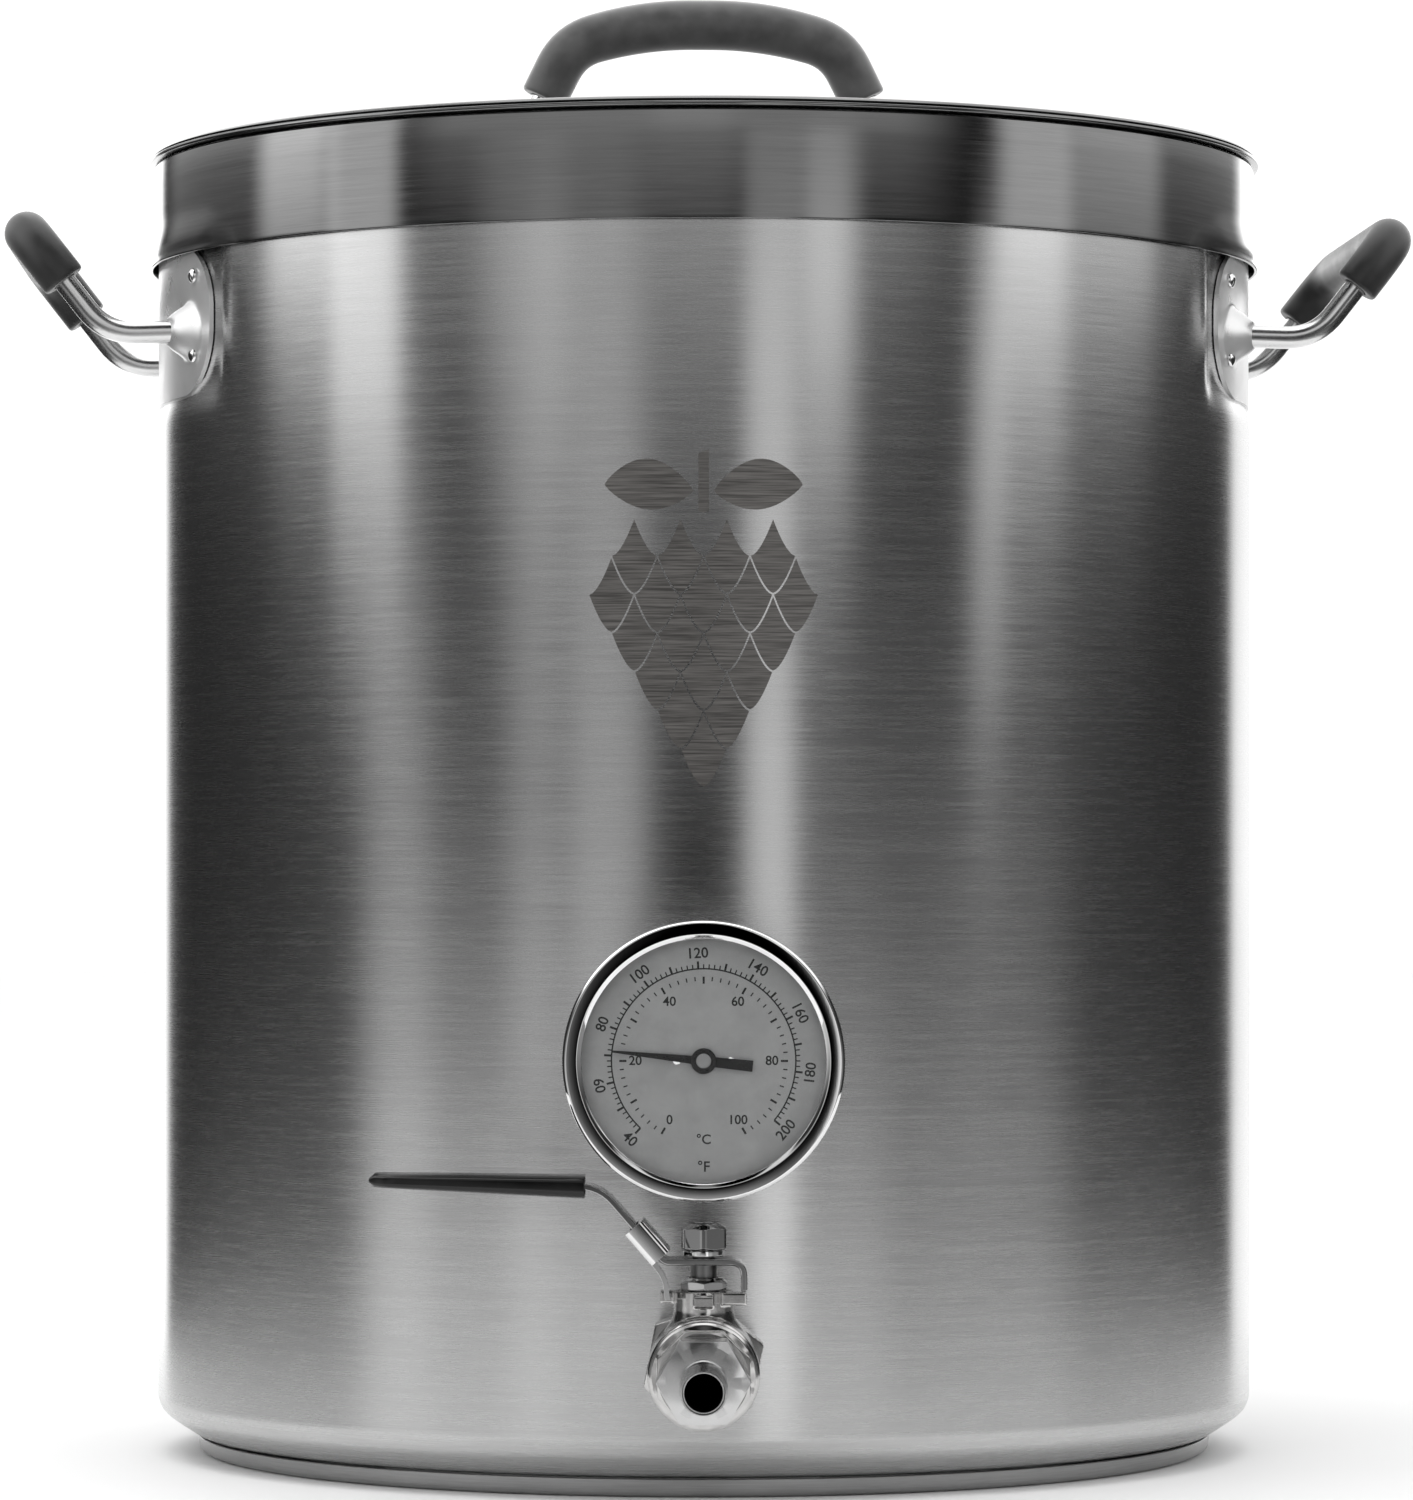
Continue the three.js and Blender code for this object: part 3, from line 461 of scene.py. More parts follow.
def combine(made, tools, operation, sharp=32):
    """Joins tools to a solid or cuts them from it."""
    for tool in tools:
        given(made.modifiers.new("step", "BOOLEAN"), operation=operation, object=tool, solver="EXACT")
    apply_modifiers(made)
    for tool in tools:
        bpy.data.objects.remove(tool)
    shade(made.data, sharp)
    return made


def bevelled(made, width, angle=32, segments=2):
    bevel = made.modifiers.new("edges", "BEVEL")
    given(bevel, width=width * MM, segments=segments, harden_normals=True)
    given(bevel, limit_method="ANGLE", angle_limit=math.radians(angle))
    return made


def cast(made, voxel, rounds):
    """Remakes a solid with the soft edges and filled corners of a casting."""
    given(made.modifiers.new("remesh", "REMESH"), mode="VOXEL", voxel_size=voxel * MM)
    given(made.modifiers.new("smooth", "SMOOTH"), factor=0.5, iterations=rounds)
    apply_modifiers(made)
    made.data.shade_smooth()
    return made


def merged(name, parts):
    """Several mesh objects made into one."""
    whole = bmesh.new()
    for part in parts:
        whole.from_mesh(part.data)
        bpy.data.objects.remove(part)
    mesh = bpy.data.meshes.new(name)
    whole.to_mesh(mesh)
    whole.free()
    shade(mesh)
    return in_scene(mesh, name)


def stand_for(made, node, material):
    """The object takes the place of a CAD node: it rides on that node's body and hides it."""
    made.name = made.data.name = f"{node}_fine"
    dress(made, frame["nodes"][node]["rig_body"], material)
    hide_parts(node)
    return made


def dress(made, body, material):
    """The object rides on a body and takes the given material as its only one."""
    made.data.materials.clear()
    made.data.materials.append(material)
    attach(made, body)


def tint(made, material, chosen, place=None):
    """Gives some faces a second material: those whose centre, seen from a place, is chosen."""
    made.data.materials.append(material)
    back = (place or Matrix()).inverted()
    for polygon in made.data.polygons:
        if chosen(back @ (polygon.center / MM)):
            polygon.material_index = 1


def near_axis(radius):
    return lambda spot: math.hypot(spot.x, spot.y) < radius


def smoothstep(value, low, high):
    t = min(max((value - low) / (high - low), 0.0), 1.0)
    return t * t * (3 - 2 * t)


# ---- material helpers


class Recipe:
    """A material whose nodes are added one at a time."""

    def __init__(self, name, slot=None):
        self.material = bpy.data.materials.new(name)
        self.material.use_nodes = True
        self.material["slot"] = slot or name
        self.tree = self.material.node_tree
        self.shader = self.tree.nodes["Principled BSDF"]

    def add(self, kind, inputs=None, **settings):
        node = given(self.tree.nodes.new("ShaderNode" + kind), **settings)
        self.feed(node, inputs or {})
        return node

    def feed(self, node, inputs):
        for name, value in inputs.items():
            if isinstance(value, bpy.types.NodeSocket):
                self.tree.links.new(value, node.inputs[name])
            else:
                node.inputs[name].default_value = value

    def math(self, operation, *values):
        node = self.add("Math", operation=operation)
        for i, value in enumerate(values):
            self.feed(node, {i: value})
        return node.outputs[0]

    def scaled(self, vector, scale):
        return self.add("Mapping", {"Vector": vector, "Scale": scale}).outputs[0]

    def noise(self, vector, scale, detail=3.0, roughness=0.5):
        settings = {"Vector": vector, "Scale": scale, "Detail": detail, "Roughness": roughness}
        return self.add("TexNoise", settings).outputs["Fac"]

    def between(self, value, low, high, from_low=0.3, from_high=0.7):
        spans = {"From Min": from_low, "From Max": from_high, "To Min": low, "To Max": high}
        return self.add("MapRange", {"Value": value, **spans}).outputs[0]

    def tone(self, value, dark, light, from_low=0.3, from_high=0.7):
        """A colour between two others, by a value."""
        share = self.between(value, 0.0, 1.0, from_low, from_high)
        node = self.add("Mix", data_type="RGBA")
        self.feed(node, {0: share, 6: (*dark, 1), 7: (*light, 1)})
        return node.outputs[2]

    def bump(self, height, distance, strength=1.0):
        settings = {"Height": height, "Distance": distance * MM, "Strength": strength}
        return self.add("Bump", settings).outputs[0]

    def blend(self, first, second, share):
        """A sum of two values, of which the first has a share and the second has the rest."""
        parts = [self.math("MULTIPLY", first, share), self.math("MULTIPLY", second, 1 - share)]
        return self.math("ADD", *parts)

    def brush(self, spread):
        """Shader inputs that spread reflections across lines round the kettle's axis."""
        tangent = self.add("Tangent", direction_type="RADIAL", axis="Z").outputs[0]
        return {"Anisotropic": spread, "Anisotropic Rotation": 0.25, "Tangent": tangent}

    def place(self):
        """Where a point is, in millimetres."""
        spot = self.add("TexCoord").outputs["Object"]
        return self.scaled(spot, (1 / MM, 1 / MM, 1 / MM))

    def round_the_axis(self):
        """Where a point is in millimetres: along its circle about the kettle's axis, outwards and up."""
        parts = self.add("SeparateXYZ", {"Vector": self.place()})
        x, y, z = parts.outputs[0], parts.outputs[1], parts.outputs[2]
        angle = self.math("ARCTAN2", x, self.math("MULTIPLY", y, -1.0))
        squares = [self.math("MULTIPLY", side, side) for side in (x, y)]
        radius = self.math("SQRT", self.math("ADD", *squares))
        arc = self.math("MULTIPLY", angle, float(WALL_RADIUS))
        return self.add("CombineXYZ", {"X": arc, "Y": radius, "Z": z}).outputs[0]


def grey(value, warmth=0.0):
    return (value * (1 + warmth), value, value * (1 - warmth))


# ---- materials


def turned_steel(name, dark, light, rough_low, rough_high, spread, grain):
    """Steel with fine lines that run round the kettle's axis. grain is the height of the lines, and
    spread, from 0 to 1, is how much wider a reflection is across them than along them."""
    recipe = Recipe(name)
    where = recipe.round_the_axis()
    fine = recipe.noise(recipe.scaled(where, (0.055, 2.6, 2.6)), 1.0, 3.0, 0.6)
    long = recipe.noise(recipe.scaled(where, (0.006, 0.55, 0.55)), 1.0, 3.0, 0.6)
    cloud = recipe.noise(recipe.scaled(where, (0.012, 0.02, 0.02)), 1.0, 2.0, 0.5)
    lines = recipe.blend(fine, long, 0.65)
    both = recipe.blend(lines, cloud, 0.75)
    recipe.feed(recipe.shader, {
        "Base Color": recipe.tone(both, grey(dark), grey(light), 0.36, 0.64),
        "Metallic": 1.0,
        "Roughness": recipe.between(lines, rough_low, rough_high, 0.36, 0.64),
        "Normal": recipe.bump(lines, grain),
        **recipe.brush(spread),
    })
    return recipe.material


def mottled(name, slot, grain, mottle, tones, roughness, bump, **inputs):
    """A finish that wanders between two colours and two roughnesses under a fine grain. grain and
    mottle are the scale, detail and roughness of a noise; bump is the grain's height and strength."""
    recipe = Recipe(name, slot)
    where = recipe.place()
    fine = recipe.noise(recipe.scaled(where, grain[0]), 1.0, *grain[1:])
    haze = recipe.noise(where, *mottle)
    recipe.feed(recipe.shader, {
        "Base Color": recipe.tone(haze, *tones),
        "Roughness": recipe.between(haze, *roughness),
        "Normal": recipe.bump(fine, *bump),
        **inputs,
    })
    return recipe.material


def polished(name, shade_value, rough_low, rough_high, slot="polished_steel", warmth=0.0, metal=1.0):
    """Steel with faint rubbing marks and a little haze. A low shade_value makes a darker copy that is
    painted shade.
    """
    tones = (grey(shade_value * 0.93, warmth), grey(shade_value, warmth))
    marks = ((0.9, 0.9, 0.12), 4.0, 0.6)
    wander = (rough_low, rough_high)
    return mottled(name, slot, marks, (0.09, 3.0, 0.55), tones, wander, (0.01, 0.4), Metallic=metal)


def cast_finish():
    """Cast and tumbled steel: a fine even grain under a soft shine."""
    grain = ((2.2, 2.2, 2.2), 3.0, 0.6)
    tones = (grey(0.5, 0.01), grey(0.62, 0.01))
    patches = (0.22, 3.0, 0.5)
    return mottled("cast_steel", None, grain, patches, tones, (0.12, 0.2), (0.006, 0.4), Metallic=1.0)


def etched():
    """Steel dulled by etching, browner than the steel round it."""
    recipe = Recipe("etched_steel", "brushed_steel")
    where = recipe.round_the_axis()
    lines = recipe.noise(recipe.scaled(where, (0.05, 1.8, 1.8)), 1.0, 3.0, 0.6)
    recipe.feed(recipe.shader, {
        "Base Color": recipe.tone(lines, grey(0.1, 0.04), grey(0.24, 0.04), 0.36, 0.64),
        "Metallic": 0.85,
        "Roughness": recipe.between(lines, 0.42, 0.6),
        "Normal": recipe.bump(lines, 0.02, 0.6),
        **recipe.brush(0.6),
    })
    return recipe.material


def rubbery(name, dark, light, roughness, grain_scale, grain_height, sheen=0.0, shine=0.5, slot=None):
    """A moulded or dipped plastic, with a fine skin and slight mottling."""
    grain = ((grain_scale, grain_scale, grain_scale), 4.0, 0.6)
    wander = (roughness - 0.05, roughness + 0.05)
    surface = {"Specular IOR Level": shine, "Sheen Weight": sheen, "Sheen Roughness": 0.4}
    tones = (grey(dark), grey(light))
    return mottled(name, slot, grain, (0.12, 3.0, 0.5), tones, wander, (grain_height, 0.6), **surface)


def lens_glass():
    """Clear glass with a little dust. It is thin, so it doesn't bend what is seen through it."""
    recipe = Recipe("lens_glass")
    dust = recipe.noise(recipe.place(), 0.6, 3.0, 0.6)
    recipe.feed(recipe.shader, {
        "Base Color": recipe.tone(dust, (0.94, 0.95, 0.95), (1.0, 1.0, 1.0)),
        "Roughness": recipe.between(dust, 0.0, 0.03),
        "Transmission Weight": 1.0,
        "IOR": 1.3,
    })
    return recipe.material


BRUSHED = turned_steel("brushed_steel", 0.52, 0.64, 0.24, 0.29, 0.8, 0.006)
# The band's steel has a much darker tone than the wall's: painted shade standing in for the dark that the
# polished band mirrors.
BAND_SHADE_STEEL = turned_steel("band_steel", 0.17, 0.22, 0.13, 0.19, 0.75, 0.003)
LID = turned_steel("lid_steel", 0.34, 0.46, 0.2, 0.28, 0.8, 0.006)
BASE = turned_steel("base_steel", 0.3, 0.45, 0.3, 0.45, 0.7, 0.01)
POLISHED = polished("polished_steel", 0.8, 0.05, 0.12)
MIRROR = polished("mirror_steel", 0.86, 0.02, 0.06)
CAST = cast_finish()
SATIN = polished("satin_steel", 0.82, 0.26, 0.36, metal=0.75)
ROD = polished("rod_steel", 0.78, 0.2, 0.28)
# A darker copy of polished steel: painted shade for the faces of the lever's nut.
SHADE_POLISH = polished("painted_shade_polish", 0.38, 0.04, 0.1)
# A darker copy of polished steel: painted shade for the lever's strip.
LEVER_SHADE_STEEL = polished("painted_shade_lever_steel", 0.38, 0.06, 0.14, "cast_steel")
# Near-black steel: painted shade on the valve's ball and inside the hose barb's bore.
PAINTED_SHADE = polished("painted_shade_steel", 0.03, 0.5, 0.6)
MACHINED = polished("machined_steel", 0.6, 0.16, 0.26)
# Dark steel: painted shade on the valve stem under the lever's plate; it also darkens the centre of the
# dial's spindle.
DULL_AND_SHADE = polished("dull_and_shade_steel", 0.2, 0.3, 0.4)
ETCHED = etched()
CORE = polished("core_aluminium", 0.75, 0.3, 0.42, "core_aluminium")
BIMETAL = polished("bimetal_strip", 0.5, 0.3, 0.4, "bimetal_strip", 0.2)
# Black silicone lighter than the side grips': painted light from above on the lid's grip; the dial's gasket
# takes the same lighter tone.
LIT_SILICONE = rubbery("black_silicone", 0.034, 0.07, 0.52, 3.0, 0.012, sheen=1.0)
SIDE_GRIP = rubbery("grip_silicone", 0.008, 0.018, 0.45, 3.0, 0.012, 0.3, slot="black_silicone")
VINYL = rubbery("black_vinyl", 0.003, 0.006, 0.16, 0.5, 0.008, shine=0.4)
CLEAR = rubbery("clear_silicone", 0.55, 0.7, 0.4, 1.2, 0.01)
PTFE = rubbery("white_ptfe", 0.78, 0.85, 0.45, 1.5, 0.005)
ENAMEL = rubbery("dial_enamel", 0.24, 0.29, 0.5, 1.5, 0.003)
INK = rubbery("pointer_black", 0.002, 0.004, 0.5, 2.0, 0.004, shine=0.15)
GLASS = lens_glass()

# ---- vessel, band and base


def from_handle(point):
    """The bearing of a point from the nearer handle, in degrees."""
    return math.degrees(math.asin(min(1.0, abs(point.y) / math.hypot(point.x, point.y))))


def moved_out(point, amount):
    radius = math.hypot(point.x, point.y)
    scale = 1 + amount / radius
    return Vector((point.x * scale, point.y * scale, point.z))


def pressed_pad(point):
    """The wall is pressed in behind each handle's plate."""
    if math.hypot(point.x, point.y) < BASE_RADIUS:
        return point
    across = 1 - smoothstep(from_handle(point), *PAD_SIDE)
    up = smoothstep(point.z, *PAD_LOW) * (1 - smoothstep(point.z, *PAD_HIGH))
    return moved_out(point, -PAD_DEPTH * across * up)


def kettle_body():
    rows = [20 + 12 * i for i in range(26)] + [325 + 2.5 * i for i in range(38)]
    inside = INNER_RADIUS
    floor = BOTTOM + BOTTOM_THICKNESS
    profile = [
        (0, BOTTOM), (60, BOTTOM), (120, BOTTOM), (BASE_RADIUS, BOTTOM, 3),
        (WALL_RADIUS - 1.6, 13.6, 4), (WALL_RADIUS, 17.8, 2), *[(WALL_RADIUS, z) for z in rows],
        (WALL_RADIUS, BAND_TOP + 0.4, 0.6), (LIP_RADIUS, KETTLE_HEIGHT - 1.3, 0.6),
        (LIP_RADIUS, KETTLE_HEIGHT, 0.6), (inside + 1.3, KETTLE_HEIGHT, 0.8),
        (inside, KETTLE_HEIGHT - 1.6, 0.8), *[(inside, z) for z in reversed(rows)], (inside, 18, 2),
        (inside - 1.5, 14.6, 3), (BASE_RADIUS - 0.6, floor, 3), (120, floor), (60, floor),
        (0, floor),
    ]
    body = turned(profile, KETTLE, 360, 40, pressed_pad)
    drill = plug(THREAD_RADIUS + 2 * GAP, WALL_RADIUS - 20, WALL_RADIUS + 20)
    places = [Matrix.Translation((0, 0, height)) @ OUTWARD for height in (VALVE_HEIGHT, DIAL_HEIGHT)]
    return combine(body, [turned(drill, place, 48) for place in places], "DIFFERENCE", 40)


def hooded(point):
    """The band's lower edge stands out over each handle's plate. Its upper corners are round."""
    bearing = from_handle(point)
    side = smoothstep(bearing, 25.5, 31)
    top = smoothstep(point.z, HOOD_SHOULDER, HOOD_TOP)
    edge = max(0.0, 1 - math.hypot(side, top))
    over = HOOD_PROUD * (0.45 + 0.55 * (1 - smoothstep(bearing, 12, 28))) * edge
    lip = 0.2 * (1 - side) * (1 - smoothstep(point.z, BAND_BOTTOM, BAND_BOTTOM + 1.6))
    return moved_out(point, over + lip)


def rim_band():
    inside = WALL_RADIUS + GAP
    rows = [BAND_BOTTOM + 1.2 * i for i in range(1, 22)]
    return turned([
        (inside, BAND_BOTTOM, 0.3), (BAND_RADIUS, BAND_BOTTOM, 0.5),
        *[(BAND_RADIUS, z) for z in rows], (BAND_RADIUS, BAND_TOP, 0.5), (inside, BAND_TOP, 0.3),
        *[(inside, z) for z in reversed(rows)],
    ], KETTLE, 360, 40, hooded)


def base_cap():
    skin_thickness = 0.8
    return turned([
        (0, 0), (BASE_RADIUS - 3, 0, 1.4), (BASE_RADIUS - 0.6, 1.2, 1),
        (BASE_RADIUS, BASE_THICKNESS, 0.4), (BASE_RADIUS - skin_thickness, BASE_THICKNESS),
        (BASE_RADIUS - 0.6 - skin_thickness, 1.5), (BASE_RADIUS - 3.4, skin_thickness),
        (0, skin_thickness),
    ], KETTLE, 240)


vessel = stand_for(kettle_body(), "kettle_body", BRUSHED)
# The lip above the band takes the band's darkened steel: painted shade.
tint(vessel, BAND_SHADE_STEEL, lambda spot: spot.z > BAND_TOP + 0.3)
stand_for(rim_band(), "rim_band", BAND_SHADE_STEEL)
stand_for(base_cap(), "base_cap", BASE)

# ---- side handles


def boss_height(side, height):
    """How far the plate's pressed bosses stand out at a place on it."""
    reach = math.hypot(abs(side) - LEG_SIDE, height - LEG_HEIGHT)
    share = min(1.0, max(0.0, (reach - 3.7) / 6.4))
    plate = math.sqrt(PLATE_OUT**2 - LEG_SIDE**2)
    return (BOSS_REACH - plate + 0.4) * (1 - share) ** 1.6 * (1 + 1.2 * share)


def handle_plate(place):
    """A plate that follows the wall, with rounded ends and a boss round each leg."""
    columns, rows = 210, 84
    centre = (PLATE_TOP + PLATE_BOTTOM) / 2
    half = (PLATE_TOP - PLATE_BOTTOM) / 2
    front = []
    back = []
    for row in range(rows + 1):
        height = half * math.sin(math.pi * (row / rows - 0.5))
        past = max(0.0, abs(height) - (half - PLATE_CORNER))
        width = PLATE_HALF_WIDTH - PLATE_CORNER + math.sqrt(PLATE_CORNER**2 - past**2)
        for column in range(columns + 1):
            side = width * math.sin(math.pi / 2 * (2 * column / columns - 1) * 0.8) / math.sin(0.4 * math.pi)
            angle = math.asin(side / PLATE_OUT)
            rise = boss_height(side, centre + height)
            for face, radius in ((front, PLATE_OUT), (back, PLATE_OUT - PLATE_THICKNESS)):
                x = radius * math.cos(angle) + rise
                face.append(Vector((x, radius * math.sin(angle), centre + height)))
    return bevelled(sheet(front, back, columns + 1, place, 40), 0.4, 50)


def handle_corners(legs):
    """The corners of the handle's line, from a function that gives where a leg starts."""
    foot = Vector((ELBOW_REACH, LEG_SIDE, LEG_HEIGHT - 0.8))
    top = Vector((HANDLE_REACH, LEG_SIDE, HANDLE_RISE))
    side = legs(foot, top) + [top]
    return side + [Vector((p.x, -p.y, p.z)) for p in reversed(side)]


def handle_rod(place):
    start = Vector((LEG_START, LEG_SIDE, LEG_HEIGHT))
    bends = (ELBOW_BEND, BEND_REACH, BEND_REACH, ELBOW_BEND)
    line = bent_line(handle_corners(lambda foot, top: [start, foot]), bends)
    return swept(line, plug(HANDLE_ROD, 0, Path(line).length, 0.5), place)


def handle_grip(place):
    line = bent_line(handle_corners(lambda foot, top: [foot.lerp(top, 0.5)]), (BEND_REACH, BEND_REACH))
    profile = tube(HANDLE_ROD + 0.35, HANDLE_SLEEVE, 0, Path(line).length, 1.3, 0.4)
    return swept(line, profile, place, 40)


def rivet(place):
    """A rivet through plate and wall; its Z runs out from the kettle's axis."""
    inside = INNER_RADIUS - PAD_DEPTH - 2 * GAP
    return turned([
        (0, inside - 1.2), (RIVET_HEAD - 0.6, inside - 1.2, 0.5), (RIVET_HEAD, inside, 0.3),
        (RIVET_SHANK, inside), (RIVET_SHANK, PLATE_OUT + GAP), (RIVET_HEAD, PLATE_OUT + GAP, 0.3),
        (RIVET_HEAD - 0.3, PLATE_OUT + 1.2, 0.8), (RIVET_HEAD - 1.5, PLATE_OUT + 1.9, 0.9),
        (0, PLATE_OUT + 2),
    ], place, 32, 50)


def side_handle(side, place):
    stand_for(handle_plate(place), f"{side}_handle_plate", SATIN)
    stand_for(handle_rod(place), f"{side}_handle_rod", ROD)
    stand_for(handle_grip(place), f"{side}_handle_grip", SIDE_GRIP)
    spots = [(sign, height) for sign in (1, -1) for height in RIVET_HEIGHTS]
    for number, (sign, height) in enumerate(spots, 1):
        bearing = Matrix.Rotation(math.asin(sign * RIVET_SIDE / WALL_RADIUS), 4, "Z")
        lift = Matrix.Translation((0, 0, height))
        spot = place @ lift @ bearing @ Matrix.Rotation(math.pi / 2, 4, "Y")
        stand_for(rivet(spot), f"{side}_handle_rivet_{number}", MIRROR)


side_handle("right", KETTLE)
side_handle("left", Matrix.Rotation(HANDLE_TURN + math.pi, 4, "Z"))

# ---- lid


def lid_shell():
    t = LID_THICKNESS
    rings = [(LID_PLUG - 12) * share for share in (0.25, 0.5, 0.75)]
    return turned([
        (0, LID_CROWN - t), *[(radius, LID_CROWN - t) for radius in rings],
        (LID_PLUG - 12, LID_CROWN - t, 3), (LID_PLUG - 8 - t, LID_TOP - t, 3),
        (LID_PLUG - t, LID_TOP - t - LID_PLUG_DEPTH, 0.3),
        (LID_PLUG, LID_TOP - t - LID_PLUG_DEPTH, 0.3), (LID_PLUG, LID_TOP - t, 0.8),
        (LID_RADIUS - 0.3, LID_TOP - t, 0.2), (LID_RADIUS, LID_TOP - t + 0.2, 0.15),
        (LID_RADIUS - 1.3, LID_TOP, 0.5), (LID_PLUG - 8, LID_TOP, 3), (LID_PLUG - 12, LID_CROWN, 3),
        *[(radius, LID_CROWN) for radius in reversed(rings)], (0, LID_CROWN),
    ], KETTLE, 300, 40)


def lid_arch(share):
    """The line of the lid's handle, which starts a share of the way up each leaning leg."""
    foot = Vector((LID_HANDLE_HALF, 0, LID_FOOT + 2))
    shoulder, crest = [Vector((x, 0, z)) for x, z in (LID_HANDLE_SHOULDER, LID_HANDLE_CREST)]
    half = [foot.lerp(shoulder, share), shoulder, crest]
    whole = half + [Vector((-p.x, 0, p.z)) for p in reversed(half)]
    return bent_line(whole, (SHOULDER_REACH, CREST_REACH, CREST_REACH, SHOULDER_REACH))


def lid_foot(side):
    """The flat foot of the handle's rod: a strip with round ends."""
    outline = []
    for end in (-1, 1):
        for step in range(17):
            angle = math.pi * (step / 16) + (math.pi if end < 0 else 0)
            outline.append(polar(FOOT_RADIUS, angle) + Vector((0, end * LID_RIVET_SPREAD, 0)))
    top = [p + Vector((0, 0, FOOT_THICKNESS)) for p in outline]
    return prism(outline, top, KETTLE @ Matrix.Translation((side * LID_HANDLE_HALF, 0, LID_FOOT)))


def lid_handle_rod():
    line = lid_arch(0)
    rod = swept(line, plug(LID_HANDLE_ROD, 0, Path(line).length, 0.5), KETTLE)
    return bevelled(combine(rod, [lid_foot(1), lid_foot(-1)], "UNION"), 0.3)


def lid_handle_grip():
    line = lid_arch(LID_SLEEVE_START)
    length = Path(line).length
    profile = tube(LID_HANDLE_ROD + 0.35, LID_HANDLE_SLEEVE, 0, length, 1.3, 0.4)
    profile[2:2] = [(LID_SLEEVE_MIDDLE, length * 0.35, 9), (LID_SLEEVE_MIDDLE, length * 0.65, 9)]
    return swept(line, profile, KETTLE, 40)


def lid_rivet(x, y):
    under = LID_CROWN - LID_THICKNESS - GAP
    over = LID_FOOT + FOOT_THICKNESS + GAP
    return turned([
        (0, under - 1.2), (3.4, under - 1.2, 0.5), (3.6, under), (2, under), (2, over),
        (3.8, over, 0.3), (3.3, over + 1.2, 0.9), (1.6, over + 1.8, 0.8), (0, over + 1.8),
    ], KETTLE @ Matrix.Translation((x, y, 0)), 32, 50)


lid = stand_for(lid_shell(), "lid_shell", LID)
# The lid's outer edge takes the band's darkened steel: painted shade.
tint(lid, BAND_SHADE_STEEL, lambda spot: math.hypot(spot.x, spot.y) > LID_RADIUS - 0.8)
stand_for(lid_handle_rod(), "lid_handle_rod", MIRROR)
stand_for(lid_handle_grip(), "lid_handle_grip", LIT_SILICONE)
for number in range(4):
    x = LID_HANDLE_HALF if number < 2 else -LID_HANDLE_HALF
    y = -LID_RIVET_SPREAD if number % 2 else LID_RIVET_SPREAD
    stand_for(lid_rivet(x, y), f"lid_rivet_{number + 1}", MIRROR)

# ---- thermometer

CASE_BACK = DIAL_FACE - 11
SHANK = THREAD_RADIUS + 0.3
NUT_BORE = SHANK + 0.3
WALL_OUT = WALL_RADIUS + GAP
WALL_IN = INNER_RADIUS - 5 * GAP
SEAL_OUT = WALL_OUT + 4.3


def case_cup():
    hole = PROBE_RADIUS + 0.4
    return turned([
        (hole, CASE_BACK), (CASE_RADIUS - 2.2, CASE_BACK, 2), (CASE_RADIUS, CASE_BACK + 2, 1.5),
        (CASE_RADIUS, DIAL_FACE + 1, 0.3), (CASE_RADIUS - 0.8, DIAL_FACE + 1, 0.3),
        (CASE_RADIUS - 0.8, CASE_BACK + 2.3), (CASE_RADIUS - 2.5, CASE_BACK + 0.8),
        (hole, CASE_BACK + 0.8),
    ], DIAL, 128)


def bezel():
    front = DIAL_FACE + 6
    inside = CASE_RADIUS + 0.4
    return turned([
        (inside, DIAL_FACE - 7.5), (BEZEL_RADIUS - 1.1, DIAL_FACE - 7.5, 0.5),
        (BEZEL_RADIUS, DIAL_FACE - 6, 1.2), (BEZEL_RADIUS, front - 1.0, 0.5),
        (BEZEL_RADIUS - 0.9, front, 0.3), (WINDOW_RADIUS + 1.3, front, 0.3),
        (WINDOW_RADIUS, front - 1.0, 0.4), (WINDOW_RADIUS, front - 1.3, 0.2), (inside, front - 1.3),
    ], DIAL, 192, 50)


def dial_plate():
    back = DIAL_FACE - 0.5
    return turned([(1.6, back), (38, back), (38, DIAL_FACE, 0.1), (1.6, DIAL_FACE)], DIAL, 128)


def lens():
    made = turned(plug(LENS_RADIUS, DIAL_FACE + 2.5, DIAL_FACE + 4.4, 0.3), DIAL, 128)
    made.visible_shadow = False
    return made


def dial_screw(side):
    head = DIAL_FACE + 0.2
    tip = CASE_BACK + 1.2
    place = DIAL @ Matrix.Translation((side * DIAL_SCREW_SIDE, 0, 0))
    profile = [(0, tip), (0.6, tip), (0.6, head), (1.2, head, 0.1), (1.1, head + 0.5, 0.3), (0, head + 0.5)]
    turn = Matrix.Rotation(math.radians(40 * side), 4, "Z")
    slot = block(-2, 2, head + 0.25, head + 3.25, 0.3, place @ turn)
    return combine(turned(profile, place, 24), [slot], "DIFFERENCE")


def needle():
    """The pointer: a tapered arm with a broad tail, and a ring where its spindle goes through."""
    base = DIAL_FACE + 1
    half = 1.65
    outline = [
        (-half, -POINTER_TAIL), (half, -POINTER_TAIL), (half * 0.9, -3), (1.2, 4),
        (0.3, POINTER_REACH), (-0.3, POINTER_REACH), (-1.2, 4), (-half * 0.9, -3),
    ]
    place = DIAL @ Matrix.Rotation(POINTER_REST, 4, "Z")
    flat = place @ Matrix.Translation((0, 0, base + 0.2)) @ Matrix.Rotation(-math.pi / 2, 4, "X")
    arm = extruded(outline, 0.4, flat)
    combine(arm, [turned(plug(3.4, base, base + 0.4), place, 48)], "UNION")
    return combine(arm, [turned(plug(1, base - 1, base + 1), place, 24)], "DIFFERENCE")


